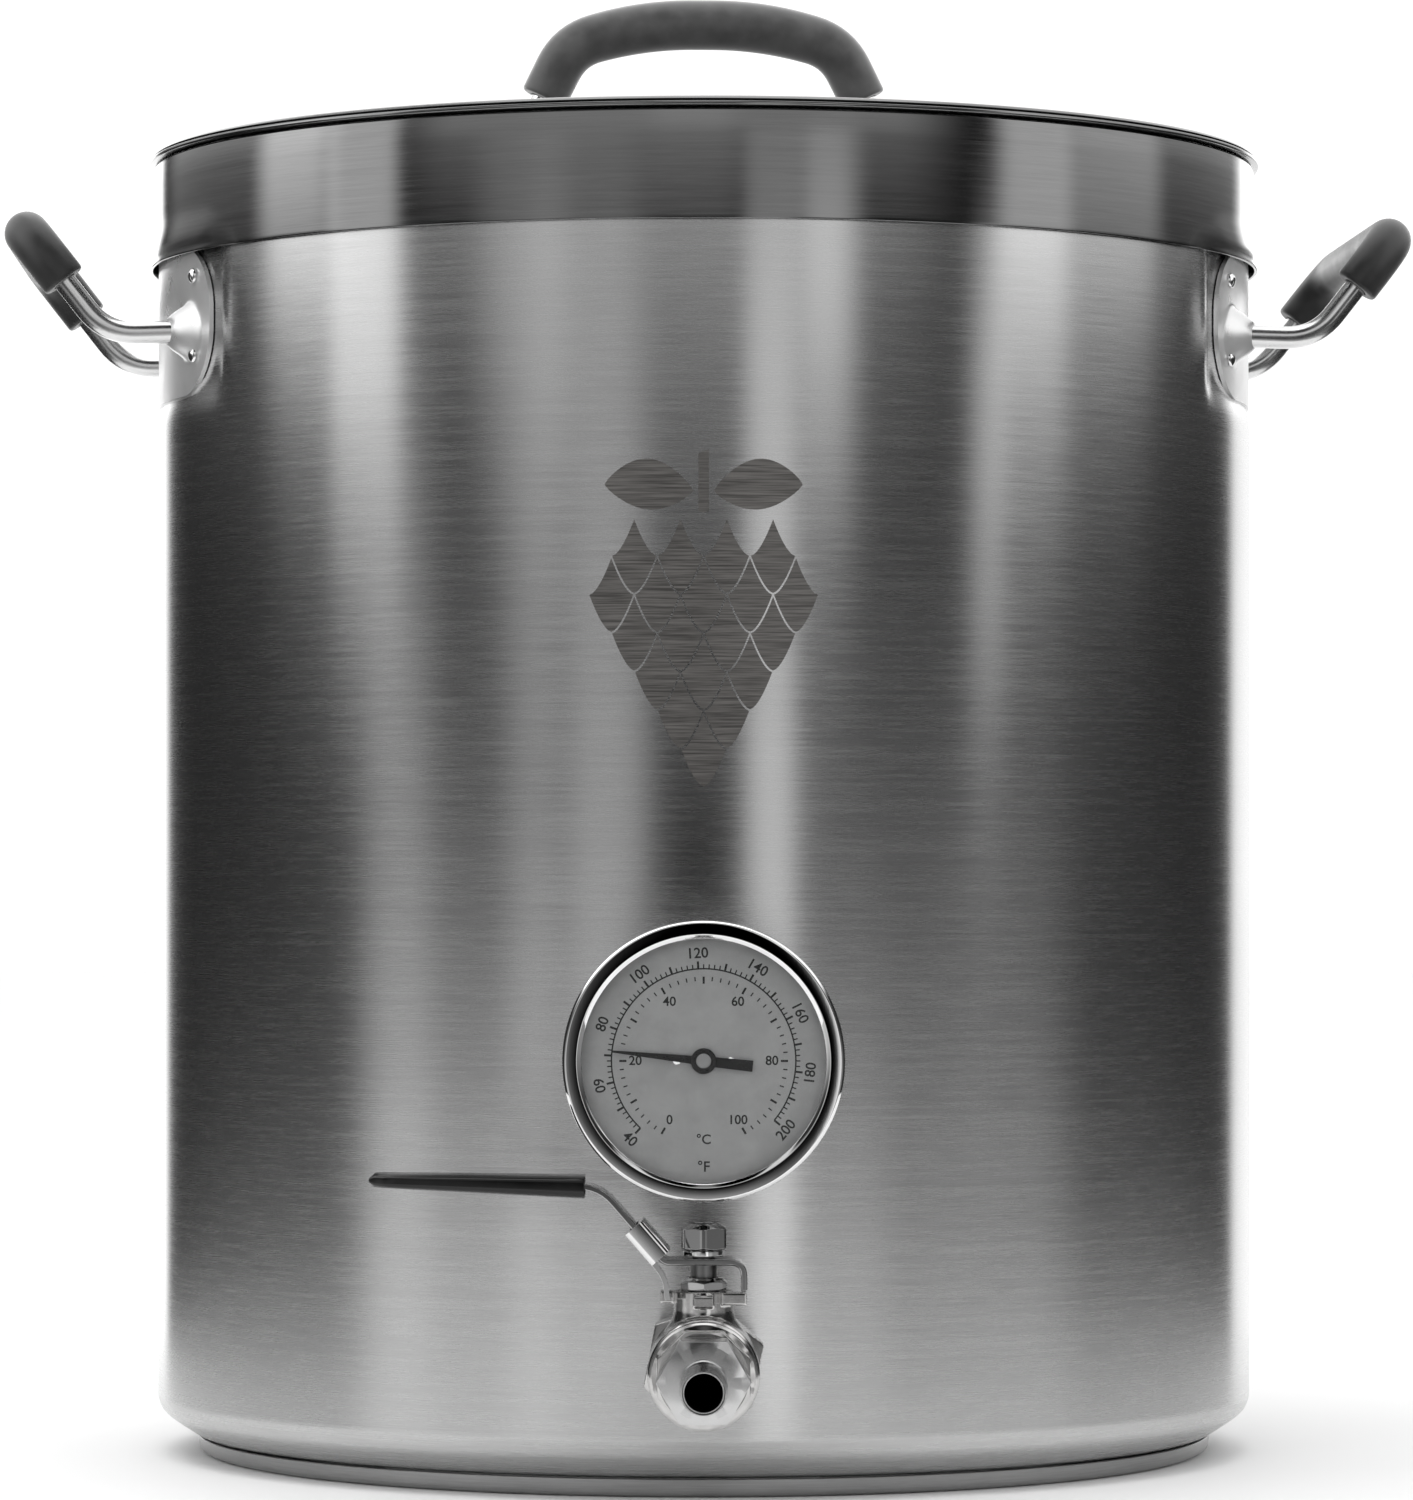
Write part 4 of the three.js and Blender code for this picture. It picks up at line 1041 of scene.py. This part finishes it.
def spindle():
    hub = DIAL_FACE + 1.6
    tip = PROBE_TIP + 3
    profile = [
        (0, tip), (0.6, tip), (0.6, hub), (3.8, hub, 0.1), (3.7, hub + 0.35, 0.2),
        (2.6, hub + 0.35, 0.1), (2.3, hub + 0.15, 0.1), (2.0, hub + 0.4, 0.1), (0, hub + 0.4),
    ]
    place = DIAL @ Matrix.Rotation(POINTER_REST + 0.6, 4, "Z")
    slot = block(-1.7, 1.7, hub + 0.2, hub + 3.2, 0.45, place)
    return combine(turned(profile, DIAL, 64), [slot], "DIFFERENCE")


def probe():
    inner = PROBE_RADIUS - 0.5
    top = CASE_BACK + 3
    return turned([
        (0, PROBE_TIP), (PROBE_RADIUS, PROBE_TIP, 1.4), (PROBE_RADIUS, top), (inner, top),
        (inner, PROBE_TIP + 1.4), (0, PROBE_TIP + 1),
    ], DIAL, 48)


def thermometer_fitting():
    hole = PROBE_RADIUS + 0.4
    return bevelled(turned([
        (hole, 169), (SHANK - 0.8, 169), (SHANK, 170), (SHANK, CASE_BACK - 11),
        *nut_profile(22, CASE_BACK - 11, CASE_BACK - GAP), (hole, CASE_BACK - GAP),
    ], DIAL), 0.15)


def nut(across, bore, bottom, top, place, turn=0.0):
    profile = [(bore + 0.5, bottom), *nut_profile(across, bottom, top, 6, turn), (bore + 0.5, top)]
    profile += [(bore, top - 0.5), (bore, bottom + 0.5)]
    return bevelled(turned(profile, place), 0.15)


CORNER_FRONT = math.radians(30)  # turns a hexagon so that one corner points to -Y

SEAL = tube(NUT_BORE, 16, WALL_OUT, SEAL_OUT - GAP, 1.0)
GASKET = tube(LENS_RADIUS - 2.1, LENS_RADIUS, DIAL_FACE + 1.3, DIAL_FACE + 2.2, 0.3)

stand_for(case_cup(), "thermometer_case", POLISHED)
stand_for(bezel(), "thermometer_bezel", MIRROR)
stand_for(dial_plate(), "thermometer_dial", ENAMEL)
stand_for(lens(), "thermometer_lens", GLASS)
stand_for(turned(GASKET, DIAL, 128), "thermometer_gasket", LIT_SILICONE)
stand_for(dial_screw(-1), "dial_screw_left", MIRROR)
stand_for(dial_screw(1), "dial_screw_right", MIRROR)
stand_for(needle(), "pointer_needle", INK)
tint(stand_for(spindle(), "pointer_spindle", INK), DULL_AND_SHADE, near_axis(2.15), DIAL)
stand_for(probe(), "thermometer_probe", POLISHED)
stand_for(thermometer_fitting(), "thermometer_fitting", POLISHED)
stand_for(turned(SEAL, DIAL), "thermometer_seal", CLEAR)
for side, low, high in (("outer", SEAL_OUT, WALL_OUT + 12), ("inner", WALL_IN - 6, WALL_IN)):
    stand_for(nut(28, NUT_BORE, low, high, DIAL, CORNER_FRONT), f"thermometer_{side}_nut", POLISHED)

# ---- dial printing

# Angles run clockwise from the top of the dial, in degrees. Both scales give a temperature the
# same angle.

PRINT_HEIGHT = 0.04
ARC_START = -150
ARC_PER_CELSIUS = 3
TICK_EVERY, MAJOR_EVERY, NUMBER_EVERY = 2, 10, 20
MINOR_WIDTH, MAJOR_WIDTH = 0.36, 0.62
ARC_RADIUS = 27


def celsius_angle(celsius):
    return ARC_START + ARC_PER_CELSIUS * celsius


def fahrenheit_angle(fahrenheit):
    return celsius_angle((fahrenheit - 32) / 1.8)


def on_dial(angle, radius, upright=False):
    """A place on the dial's face, turned to stand along the radius unless it is upright."""
    spin = Matrix.Rotation(-math.radians(angle), 4, "Z")
    place = DIAL @ spin @ Matrix.Translation((0, radius, DIAL_FACE + PRINT_HEIGHT / 2))
    if upright:
        place = place @ spin.inverted()
    return place


def bar(place, width, length):
    corners = [(x * width / 2, y * length / 2) for x, y in ((-1, -1), (1, -1), (1, 1), (-1, 1))]
    return prism(*[[(*c, z) for c in corners] for z in (-PRINT_HEIGHT / 2, PRINT_HEIGHT / 2)], place)


def label(text, place, size):
    letters = bpy.data.curves.new("label", "FONT")
    given(letters, body=text, size=size, align_x="CENTER", align_y="CENTER")
    given(letters, extrude=PRINT_HEIGHT / 2, offset=0.06, resolution_u=4)
    made = in_scene(letters)
    mesh = bpy.data.meshes.new_from_object(made.evaluated_get(bpy.context.evaluated_depsgraph_get()))
    bpy.data.objects.remove(made)
    mesh.transform(Matrix.Scale(MM, 4) @ place)
    return in_scene(mesh)


def arc(radius, width, start, end):
    """A printed line along a circle."""
    steps = 150
    inner = radius - width / 2
    outer = radius + width / 2
    rings = []
    for step in range(steps + 1):
        angle = math.radians(90 - start - (end - start) * step / steps)
        ray = Vector((math.cos(angle), math.sin(angle), 0))
        low = Vector((0, 0, -PRINT_HEIGHT / 2))
        rings.append([ray * inner + low, ray * outer + low, ray * outer - low, ray * inner - low])
    points, faces = skin(rings, False)
    faces += [[0, 1, 2, 3], [len(points) - k for k in (1, 2, 3, 4)]]
    return build(points, faces, DIAL @ Matrix.Translation((0, 0, DIAL_FACE + PRINT_HEIGHT / 2)))


# A circle of ticks and numbers. A tick's length is negative where it points inwards, and numbers that
# lean stand along the radius.
Scale = namedtuple("Scale", "to_angle values radius tick label_radius size leans")


def ticks(scale):
    for value in range(scale.values[0], scale.values[1] + 1, TICK_EVERY):
        major = value % MAJOR_EVERY == 0
        length = scale.tick * (1.0 if major else 0.6)
        place = on_dial(scale.to_angle(value), scale.radius + length / 2)
        yield bar(place, MAJOR_WIDTH if major else MINOR_WIDTH, abs(length))


def numbers(scale):
    for value in range(scale.values[0], scale.values[1] + 1, NUMBER_EVERY):
        angle = scale.to_angle(value)
        place = on_dial(angle, scale.label_radius, not scale.leans)
        if scale.leans and abs(angle) > 90:
            place = place @ Matrix.Rotation(math.pi, 4, "Z")
        yield label(str(value), place, scale.size)


def dial_printing():
    outer = Scale(fahrenheit_angle, (40, 200), ARC_RADIUS, 2.2, 31.5, 4.32, True)
    inner = Scale(celsius_angle, (0, 100), 24.7, -2.1, 20.0, 3.84, False)
    parts = [*ticks(outer), *numbers(outer), *ticks(inner), *numbers(inner)]
    parts.append(arc(ARC_RADIUS, 0.42, fahrenheit_angle(40), fahrenheit_angle(200)))
    parts.append(label("°C", on_dial(180, 23.1, True), 4.0))
    parts.append(label("°F", on_dial(180, 31.1, True), 4.32))
    return merged("dial_printing", parts)


dress(dial_printing(), "kettle", INK)

# ---- ball valve

REAR_TURN = math.radians(19.5)
EIGHTH = math.pi / 8


def valve_body():
    """The cast body: a round barrel, wrench flats behind it, and a neck with ears for the lock."""
    flats = [
        (NUT_BORE, -28), *nut_profile(33, -28, -14.5, 6, REAR_TURN), (14.5, -14.5),
        (BARREL_RADIUS, -12), (BARREL_RADIUS, 16.2), (BARREL_RADIUS - 1.5, 18),
        (CHAMBER_RADIUS, 18), (CHAMBER_RADIUS, -13.5), (PORT_RADIUS, -13.5), (PORT_RADIUS, -15.4),
        (NUT_BORE, -15.4),
    ]
    body = turned(flats, BORE)
    neck = turned([
        (0, 8), (12.5, 8), (11.6, 12), (9.6, 15), (NECK_RADIUS, 17.5), (NECK_RADIUS, NECK_TOP),
        (0, NECK_TOP),
    ], VALVE, 64)
    low, high = NECK_TOP - 3.8, NECK_TOP - 0.2
    left_ear = block(-12.8, -4, low, high, 6, VALVE, 2.2)
    right_ear = block(5.4, 12.6, low, high, 5.8, VALVE, -6.3)
    lug_line = [(-9.4, 19.4), (-9.4, 22.2), (-8.3, 23.4), (-5, 23.4), (-5, 19.4)]
    lug = extruded(lug_line, 5.6, VALVE @ Matrix.Rotation(math.pi / 2, 4, "Z"))
    combine(body, [neck, left_ear, right_ear, lug], "UNION")
    chamber = turned(plug(CHAMBER_RADIUS, -13.5, 19), BORE, 64)
    hole = turned([(0, 0), (4.3, 0), (4.3, 19), (6.9, 19), (6.9, 40), (0, 40)], VALVE, 48)
    combine(body, [chamber, hole], "DIFFERENCE")
    return cast(body, 0.3, 3)


def end_cap():
    return bevelled(turned([
        (PORT_RADIUS, 13.5), (CHAMBER_RADIUS - GAP, 13.5), (CHAMBER_RADIUS - GAP, 18.3),
        (15.4, 18.3), (16, 18.9), (16, 22.2), (15.2, 23), *nut_profile(27, 23, 28, 8, EIGHTH)[1:],
        (NUT_BORE, 28), (NUT_BORE, 19.5), (PORT_RADIUS, 19.5),
    ], BORE), 0.25)


def hose_barb():
    profile = [
        (BARB_BORE, 20), (THREAD_RADIUS - 0.8, 20), (THREAD_RADIUS, 20.8), (THREAD_RADIUS, 28.4),
        *nut_profile(24, 28.4, BARB_HEX_END)[:3], (11, BARB_HEX_END), (7.3, BARB_HEX_END + 0.25),
        (BARB_RADIUS + 0.6, BARB_HEX_END + 0.25), (BARB_RADIUS, BARB_HEX_END + 1),
    ]
    start = BARB_HEX_END + 6
    while start < BARB_TIP - 4:
        profile += [(BARB_RADIUS, start), (BARB_RADIUS + 0.7, start + 0.5), (BARB_RADIUS + 0.6, start + 1.0)]
        profile += [(BARB_RADIUS, start + 6.2)]
        start += 6.6
    profile += [(BARB_RADIUS, BARB_TIP - 0.5), (BARB_RADIUS - 0.3, BARB_TIP), (BARB_BORE, BARB_TIP)]
    return bevelled(turned(profile, BORE), 0.12)


def nipple():
    return bevelled(turned([
        (PORT_RADIUS, WALL_FROM_STEM - 14), (THREAD_RADIUS - 0.6, WALL_FROM_STEM - 14),
        (THREAD_RADIUS, WALL_FROM_STEM - 13.4), (THREAD_RADIUS, WALL_FROM_STEM + 3.6),
        *nut_profile(27, WALL_FROM_STEM + 3.6, -28.3), (THREAD_RADIUS, -28.3),
        (THREAD_RADIUS, -15.7), (PORT_RADIUS, -15.7),
    ], BORE), 0.15)


def ball():
    radius, count = 12.4, 24
    angles = [math.pi * i / count for i in range(1, count)]
    profile = [(radius * math.sin(a), -radius * math.cos(a)) for a in angles]
    sphere = turned([(0, -radius), *profile, (0, radius)], VALVE, 64)
    port = turned(plug(7.4, -20, 20), VALVE @ Matrix.Rotation(math.pi / 2, 4, "Y"), 48)
    return combine(sphere, [port, block(-15, 15, 9, 19, 4.6, VALVE)], "DIFFERENCE")


def seat(place):
    inner = PORT_RADIUS + GAP
    return turned([(inner, 10.8), (12.1, 6.2), (13.2, 6.2), (13.2, 13.2), (inner, 13.2)], place, 48)


def stem():
    plate = LEVER_PLATE - LEVER_SHEET / 2 - GAP
    thread = [(2.9, plate), (2.9, 36)]
    height = 36.0
    while height < 42.6:
        thread += [(2.6, height + 0.2), (2.9, height + 0.5)]
        height += 0.6
    profile = [(0, 13.3), (5.3, 13.3), (5.3, 14.9), (STEM_RADIUS, 14.9), (STEM_RADIUS, plate), *thread]
    profile += [(2.9, 43), (2.4, 43.5), (0, 43.5)]
    return combine(turned(profile, VALVE, 48), [block(-4.5, 4.5, 9.3, 13.8, 4, VALVE)], "UNION")


def gland():
    """The gland nut, with the domed top that shows under the lever's plate."""
    bottom = NECK_TOP + GAP
    return bevelled(turned([
        (4.8, bottom), *nut_profile(13.6, bottom, 26.6, 6, CORNER_FRONT)[:3], (6.2, 26.9),
        (5.6, 27.6), (4.9, 27.8), (4.3, 27.8), (4.3, bottom + 0.4),
    ], VALVE), 0.12)


SLOPE_FOOT = Vector((-11.5, LEVER_PLATE))
SLOPE_HEAD = Vector((-30.6, 54.5))
SLOPE = math.atan2(SLOPE_HEAD.y - SLOPE_FOOT.y, SLOPE_FOOT.x - SLOPE_HEAD.x)


def lever_arm():
    corners = [(11.9, 23.9), (11.9, LEVER_PLATE, 4.2), (*SLOPE_FOOT, 1.6), (*SLOPE_HEAD, 6), (-96, 56.4)]
    strip = extruded(sheet_outline(softened(corners, False, 6), LEVER_SHEET), LEVER_WIDTH, VALVE)
    hole = turned(plug(3.2, 30, 36), VALVE, 32)
    return bevelled(combine(strip, [hole], "DIFFERENCE"), 0.5, 40, 3)


def lever_grip():
    """The dipped sleeve on the lever: a rounded bar, deepest at its inner end."""
    stations, around = 40, 36
    mouth, mouth_height = -GRIP_START - 2, 54.4
    rings = []
    for step in range(stations + 1):
        t = step / stations
        x = -GRIP_START - (GRIP_END - GRIP_START) * t
        ends = math.sqrt(max(0.0, 1 - smoothstep(t, 0.965, 1.0) ** 2 * 0.92))
        top = 57.9 + 0.6 * t
        bottom = 51.0 + 3.4 * t
        half_height = (top - bottom) / 2 * ends
        half_width = (LEVER_WIDTH + 5) / 2 * (1 - 0.35 * smoothstep(t, 0.9, 1.0))
        ring = []
        for angle in round_angles(around):
            bulge = (abs(math.cos(angle)) ** 4 + abs(math.sin(angle)) ** 4) ** -0.25
            y = half_width * bulge * math.cos(angle)
            z = (top + bottom) / 2 + half_height * bulge * math.sin(angle)
            ring.append(Vector((x, y, z)))
        rings.append(ring)
    edge = [Vector((mouth, p.y * 0.86, mouth_height + (p.z - mouth_height) * 0.45)) for p in rings[0]]
    rings = [[Vector((mouth, 0, mouth_height))], edge, *rings, [Vector((-GRIP_END, 0, 56.4))]]
    return bevelled(build(*skin(rings, False), VALVE, 50), 0.5, 50, 3)


def rounded_block(width, height, corner):
    signs = ((-1, -1), (1, -1), (1, 1), (-1, 1))
    return softened([(x * width / 2, z * height / 2, corner) for x, z in signs], True, 5)


def lock_slide():
    """A folded sheet sleeve round the lever's slope, with a tongue that hangs beside the neck."""
    tilt = Matrix.Rotation(SLOPE, 4, "Y") @ Matrix.Rotation(math.pi / 2, 4, "Z")
    place = VALVE @ Matrix.Translation((-16.55, 0, 38.32)) @ tilt
    outer = extruded(rounded_block(LEVER_WIDTH + 4, 7.2, 2.0), 12, place)
    slot = extruded(rounded_block(LEVER_WIDTH + 0.9, LEVER_SHEET + 1.3, 0.8), 20, place)
    line = softened([(-15, 32.6), (-11.4, 28, 3), (-10.6, 21.4)], False, 6)
    tongue = extruded(sheet_outline(line, 1.5), 5.6, VALVE, across=-5.8)
    combine(outer, [tongue], "UNION")
    return bevelled(combine(outer, [slot], "DIFFERENCE"), 0.3, 40)


def lever_nut():
    """The stem's nut, with its lower end shaped like a collar."""
    return bevelled(turned([
        (3.6, 36), *nut_profile(13.4, 36, 42.3, 6, CORNER_FRONT, 0.55)[:3], (5.6, 43.1),
        (4.6, 43.6), (3.6, 43.7), (3.2, 41.5), (3.2, 36.5),
    ], VALVE), 0.2)


VALVE_SEAL = tube(SHANK, 15, WALL_FROM_STEM, WALL_FROM_STEM + 3.3, 1.0)
LOCKNUT = (27, SHANK, WALL_FROM_STEM - 9, WALL_FROM_STEM - 3)

stand_for(valve_body(), "valve_body", CAST)
stand_for(end_cap(), "valve_end_cap", CAST)
stand_for(seat(BORE), "valve_seat_front", PTFE)
stand_for(seat(BORE @ Matrix.Rotation(math.pi, 4, "X")), "valve_seat_rear", PTFE)
stand_for(ball(), "valve_ball", PAINTED_SHADE)
# The stem takes dark steel: painted shade under the lever's plate.
stand_for(stem(), "valve_stem", DULL_AND_SHADE)
stand_for(turned(tube(4.3, 6.6, 19.3, 23.5), VALVE), "stem_packing", PTFE)
stand_for(gland(), "gland_nut", POLISHED)
# The barb's bore takes the near-black steel: painted shade inside it.
tint(stand_for(hose_barb(), "hose_barb", MACHINED), PAINTED_SHADE, near_axis(BARB_BORE + 0.05), BORE)
stand_for(nipple(), "valve_nipple", POLISHED)
stand_for(turned(VALVE_SEAL, BORE), "valve_seal", CLEAR)
stand_for(nut(*LOCKNUT, BORE), "valve_locknut", POLISHED)
stand_for(lever_arm(), "lever_arm", LEVER_SHADE_STEEL)
stand_for(lever_grip(), "lever_grip", VINYL)
stand_for(turned(tube(3.2, 6, 33.8, 35.7), VALVE), "lever_washer", POLISHED)
stand_for(lever_nut(), "lever_nut", SHADE_POLISH)
stand_for(lock_slide(), "lock_slide", POLISHED)

# ---- hidden pieces that keep their CAD mesh

for node, material in (("base_core", CORE), ("bimetal_coil", BIMETAL)):
    for each in frame["nodes"][node].material_slots:
        each.material = material

# ---- etched emblem

# A hop cone: rows of pointed scales in a pear-shaped outline, under a stalk with two leaves.

EMBLEM_LOW = 216
EMBLEM_HIGH = 318
EMBLEM_ROWS = (1, 2, 3, 4, 5, 4)
EMBLEM_PITCH = 14
EMBLEM_STEP = 11.7
EMBLEM_LINE = 0.75
EMBLEM_TIP = 0.15
EMBLEM_DEPTH = 0.05


def on_wall(x, z, out):
    """A point of the front wall, out millimetres in front of it, given its distance along the wall."""
    radius = WALL_RADIUS + out
    angle = x / WALL_RADIUS
    return Vector((radius * math.sin(angle), -radius * math.cos(angle), z))


def wall_patch(left, right, low, high, columns, rows=6):
    """A thin patch on the wall between two functions of the way across it, low and high."""
    front = []
    back = []
    for row in range(rows + 1):
        for column in range(columns + 1):
            x = left + (right - left) * column / columns
            z = low(x) + (high(x) - low(x)) * row / rows
            front.append(on_wall(x, z, EMBLEM_DEPTH))
            back.append(on_wall(x, z, -EMBLEM_DEPTH))
    return sheet(front, back, columns + 1)


def hop_scale(centre, level):
    """One scale of the cone: a pointed top over a round bottom, about a level line."""
    reach = EMBLEM_STEP - EMBLEM_LINE
    side = (EMBLEM_PITCH - EMBLEM_LINE) / 2

    def off(x):
        return min(1.0, abs(x - centre) / side)

    def low(x):
        return level - reach * (1 - off(x) ** 1.6) - EMBLEM_TIP

    def high(x):
        return level + reach * (1 - off(x)) ** 1.6 + EMBLEM_TIP

    return wall_patch(centre - side, centre + side, low, high, 16)


def leaf(side, foot):
    start, end = 3.2, 30.0

    def arch(x, rise):
        t = min(1.0, max(0.0, (abs(x) - start) / (end - start)))
        return foot + 2 * t + rise * abs(math.sin(math.pi * t)) ** 0.8

    left, right = sorted((side * start, side * end))
    return wall_patch(left, right, lambda x: arch(x, -6.5), lambda x: arch(x, 8.5) + 2 * EMBLEM_TIP, 24)


def emblem():
    base = EMBLEM_LOW + EMBLEM_STEP - EMBLEM_LINE
    parts = []
    for row, count in enumerate(EMBLEM_ROWS):
        for k in range(count):
            parts.append(hop_scale((k - (count - 1) / 2) * EMBLEM_PITCH, base + EMBLEM_STEP * row))
    foot, tip = EMBLEM_HIGH - 19.5, EMBLEM_HIGH - 1
    parts.append(wall_patch(-1.6, 1.6, lambda x: foot + 0.3 * abs(x), lambda x: tip + 0.4 * x, 4))
    parts += [leaf(side, foot + 6.5) for side in (-1, 1)]
    return merged("hop_emblem", parts)


dress(emblem(), "kettle", ETCHED)

# ---- camera

CAMERA_DISTANCE = 1.991
CAMERA_HEIGHT = 0.192

camera_data = bpy.data.cameras.new("camera")
given(camera_data, sensor_width=36, lens=144.2, shift_x=0.0019, shift_y=0.0773, clip_end=50)
camera = in_scene(camera_data, "camera")
given(camera, location=(0, -CAMERA_DISTANCE, CAMERA_HEIGHT), rotation_euler=(math.pi / 2, 0, 0))
bpy.context.scene.camera = camera

# ---- floor and light

FLOOR_RADIUS = 9000


def floor():
    rings = [circle(0, 0, 96), circle(FLOOR_RADIUS, 0, 96)]
    made = build(*skin(rings, False), Matrix.Translation((0, 0, -0.05)))
    recipe = Recipe("pale_floor")
    mottle = recipe.noise(recipe.place(), 0.004, 3.0, 0.5)
    recipe.feed(recipe.shader, {
        "Base Color": recipe.tone(mottle, grey(0.86), grey(0.88)),
        "Roughness": 0.7,
        "Specular IOR Level": 0.2,
    })
    made.data.materials.append(recipe.material)


STUDIO_RADIUS = 520
STUDIO_HEIGHT = 1500
STUDIO_CEILING = 1.8
ANYWHERE = (-9999, 9999)

# What the steel mirrors: light panels and pale walls round the kettle. Each has its brightness, its
# sides as bearings in degrees clockwise from the front, and its lower and upper edge in millimetres.
# A side or an edge fades over the softness that follows the pair.
STUDIO = [
    (1.7, (-220, -133), 2, ANYWHERE, 1),
    (1.2, (126, 220), 3, ANYWHERE, 1),
    (2.3, (-87, -69), 4, (425, 9999), 40),
    (1.5, (-69, -54), 2, (350, 9999), 80),
    (1.1, (-126, -87), 6, (480, 9999), 80),
    (0.46, (-38, -24), 4, (350, 450), 45),
    (0.51, (-26, -10), 5, (340, 450), 45),
    (0.53, (-62, -9), 8, (-9999, 130), 120),
    (0.42, (-22, -9.5), 3, (100, 330), 70),
    (0.81, (7, 15), 1.5, (-9999, 450), 30),
    (1.5, (16, 25), 3, (360, 450), 40),
    (0.49, (9, 30), 6, (-9999, 130), 120),
    (0.13, (-8, 5), 3, (310, 9999), 40),
    (0.06, (-10, 6), 5, (370, 9999), 50),
    (2.0, (-220, -136), 2, (420, 500), 25),
    (2.0, (130, 220), 3, (420, 500), 25),
    (0.03, (-150, -36), 8, ANYWHERE, 1),
    (0.03, (26, 150), 8, ANYWHERE, 1),
    (0.23, (30, 66), 8, (-9999, 160), 120),
    (1.56, (52, 67), 3, (385, 9999), 50),
    (1.29, (67, 91), 4, (425, 9999), 50),
    (1.06, (91, 126), 5, (480, 9999), 80),
    (0.68, (47, 53), 2, (270, 420), 40),
    (0.5, (-9, 5), 4, (-9999, 60), 50),
    (0.21, (-61, -48), 4, (-9999, 340), 60),
    (0.27, (-33, -24), 4, (-9999, 430), 60),
    (0.7, (-50, 40), 8, (450, 620), 30),
]


def within(value, edges, softness):
    """One between two edges, nothing outside them, and a smooth change across each edge."""
    rise = smoothstep(value, edges[0] - softness, edges[0] + softness)
    return rise * (1 - smoothstep(value, edges[1] - softness, edges[1] + softness))


def studio():
    """A drum round the kettle that only reflections see. Its corners carry how bright it is."""
    heights = list(range(0, 700, 20)) + [800, STUDIO_HEIGHT]
    bearings = [-180 + 1.5 * step for step in range(240)]
    rings = []
    light = []
    for height in heights:
        ring = []
        for bearing in bearings:
            angle = math.radians(bearing)
            ring.append(Vector((STUDIO_RADIUS * math.sin(angle), -STUDIO_RADIUS * math.cos(angle), height)))
            light.append(sum(
                strength * within(bearing, sides, side_soft) * within(height, edges, edge_soft)
                for strength, sides, side_soft, edges, edge_soft in STUDIO
            ))
        rings.append(ring)
    ceiling = [point.copy() for point in rings[-1]]
    rings += [ceiling, [Vector((0, 0, STUDIO_HEIGHT))]]
    light += [STUDIO_CEILING] * (len(ceiling) + 1)
    made = build(*skin(rings, False))
    brightness = made.data.attributes.new("brightness", "FLOAT", "POINT")
    brightness.data.foreach_set("value", light)
    recipe = Recipe("studio_light")
    value = recipe.add("Attribute", attribute_name="brightness").outputs["Fac"]
    glow = recipe.add("Emission", {"Color": (1, 1, 1, 1), "Strength": value})
    recipe.feed(recipe.tree.nodes["Material Output"], {"Surface": glow.outputs[0]})
    made.data.materials.append(recipe.material)
    given(made, visible_camera=False, visible_diffuse=False)
    given(made, visible_shadow=False, visible_transmission=False)


def soft_light():
    """A wide lamp above and a little in front, and the pale surroundings."""
    lamp = bpy.data.lights.new("lamp", "AREA")
    light = in_scene(given(lamp, shape="RECTANGLE", size=1.6, size_y=1.2, energy=12), "lamp")
    light.location = (-0.3, -0.4, 1.9)
    light.rotation_euler = (Vector((0, 0, 0.2)) - light.location).to_track_quat("-Z", "Y").to_euler()
    light.visible_camera = light.visible_glossy = False
    world = bpy.data.worlds.new("world")
    world.use_nodes = True
    background = world.node_tree.nodes["Background"]
    background.inputs["Color"].default_value = (1, 1, 1, 1)
    background.inputs["Strength"].default_value = 1.15
    bpy.context.scene.world = world


floor()
studio()
soft_light()

bpy.context.scene.view_settings.view_transform = "Standard"
bpy.context.scene.view_settings.look = "None"
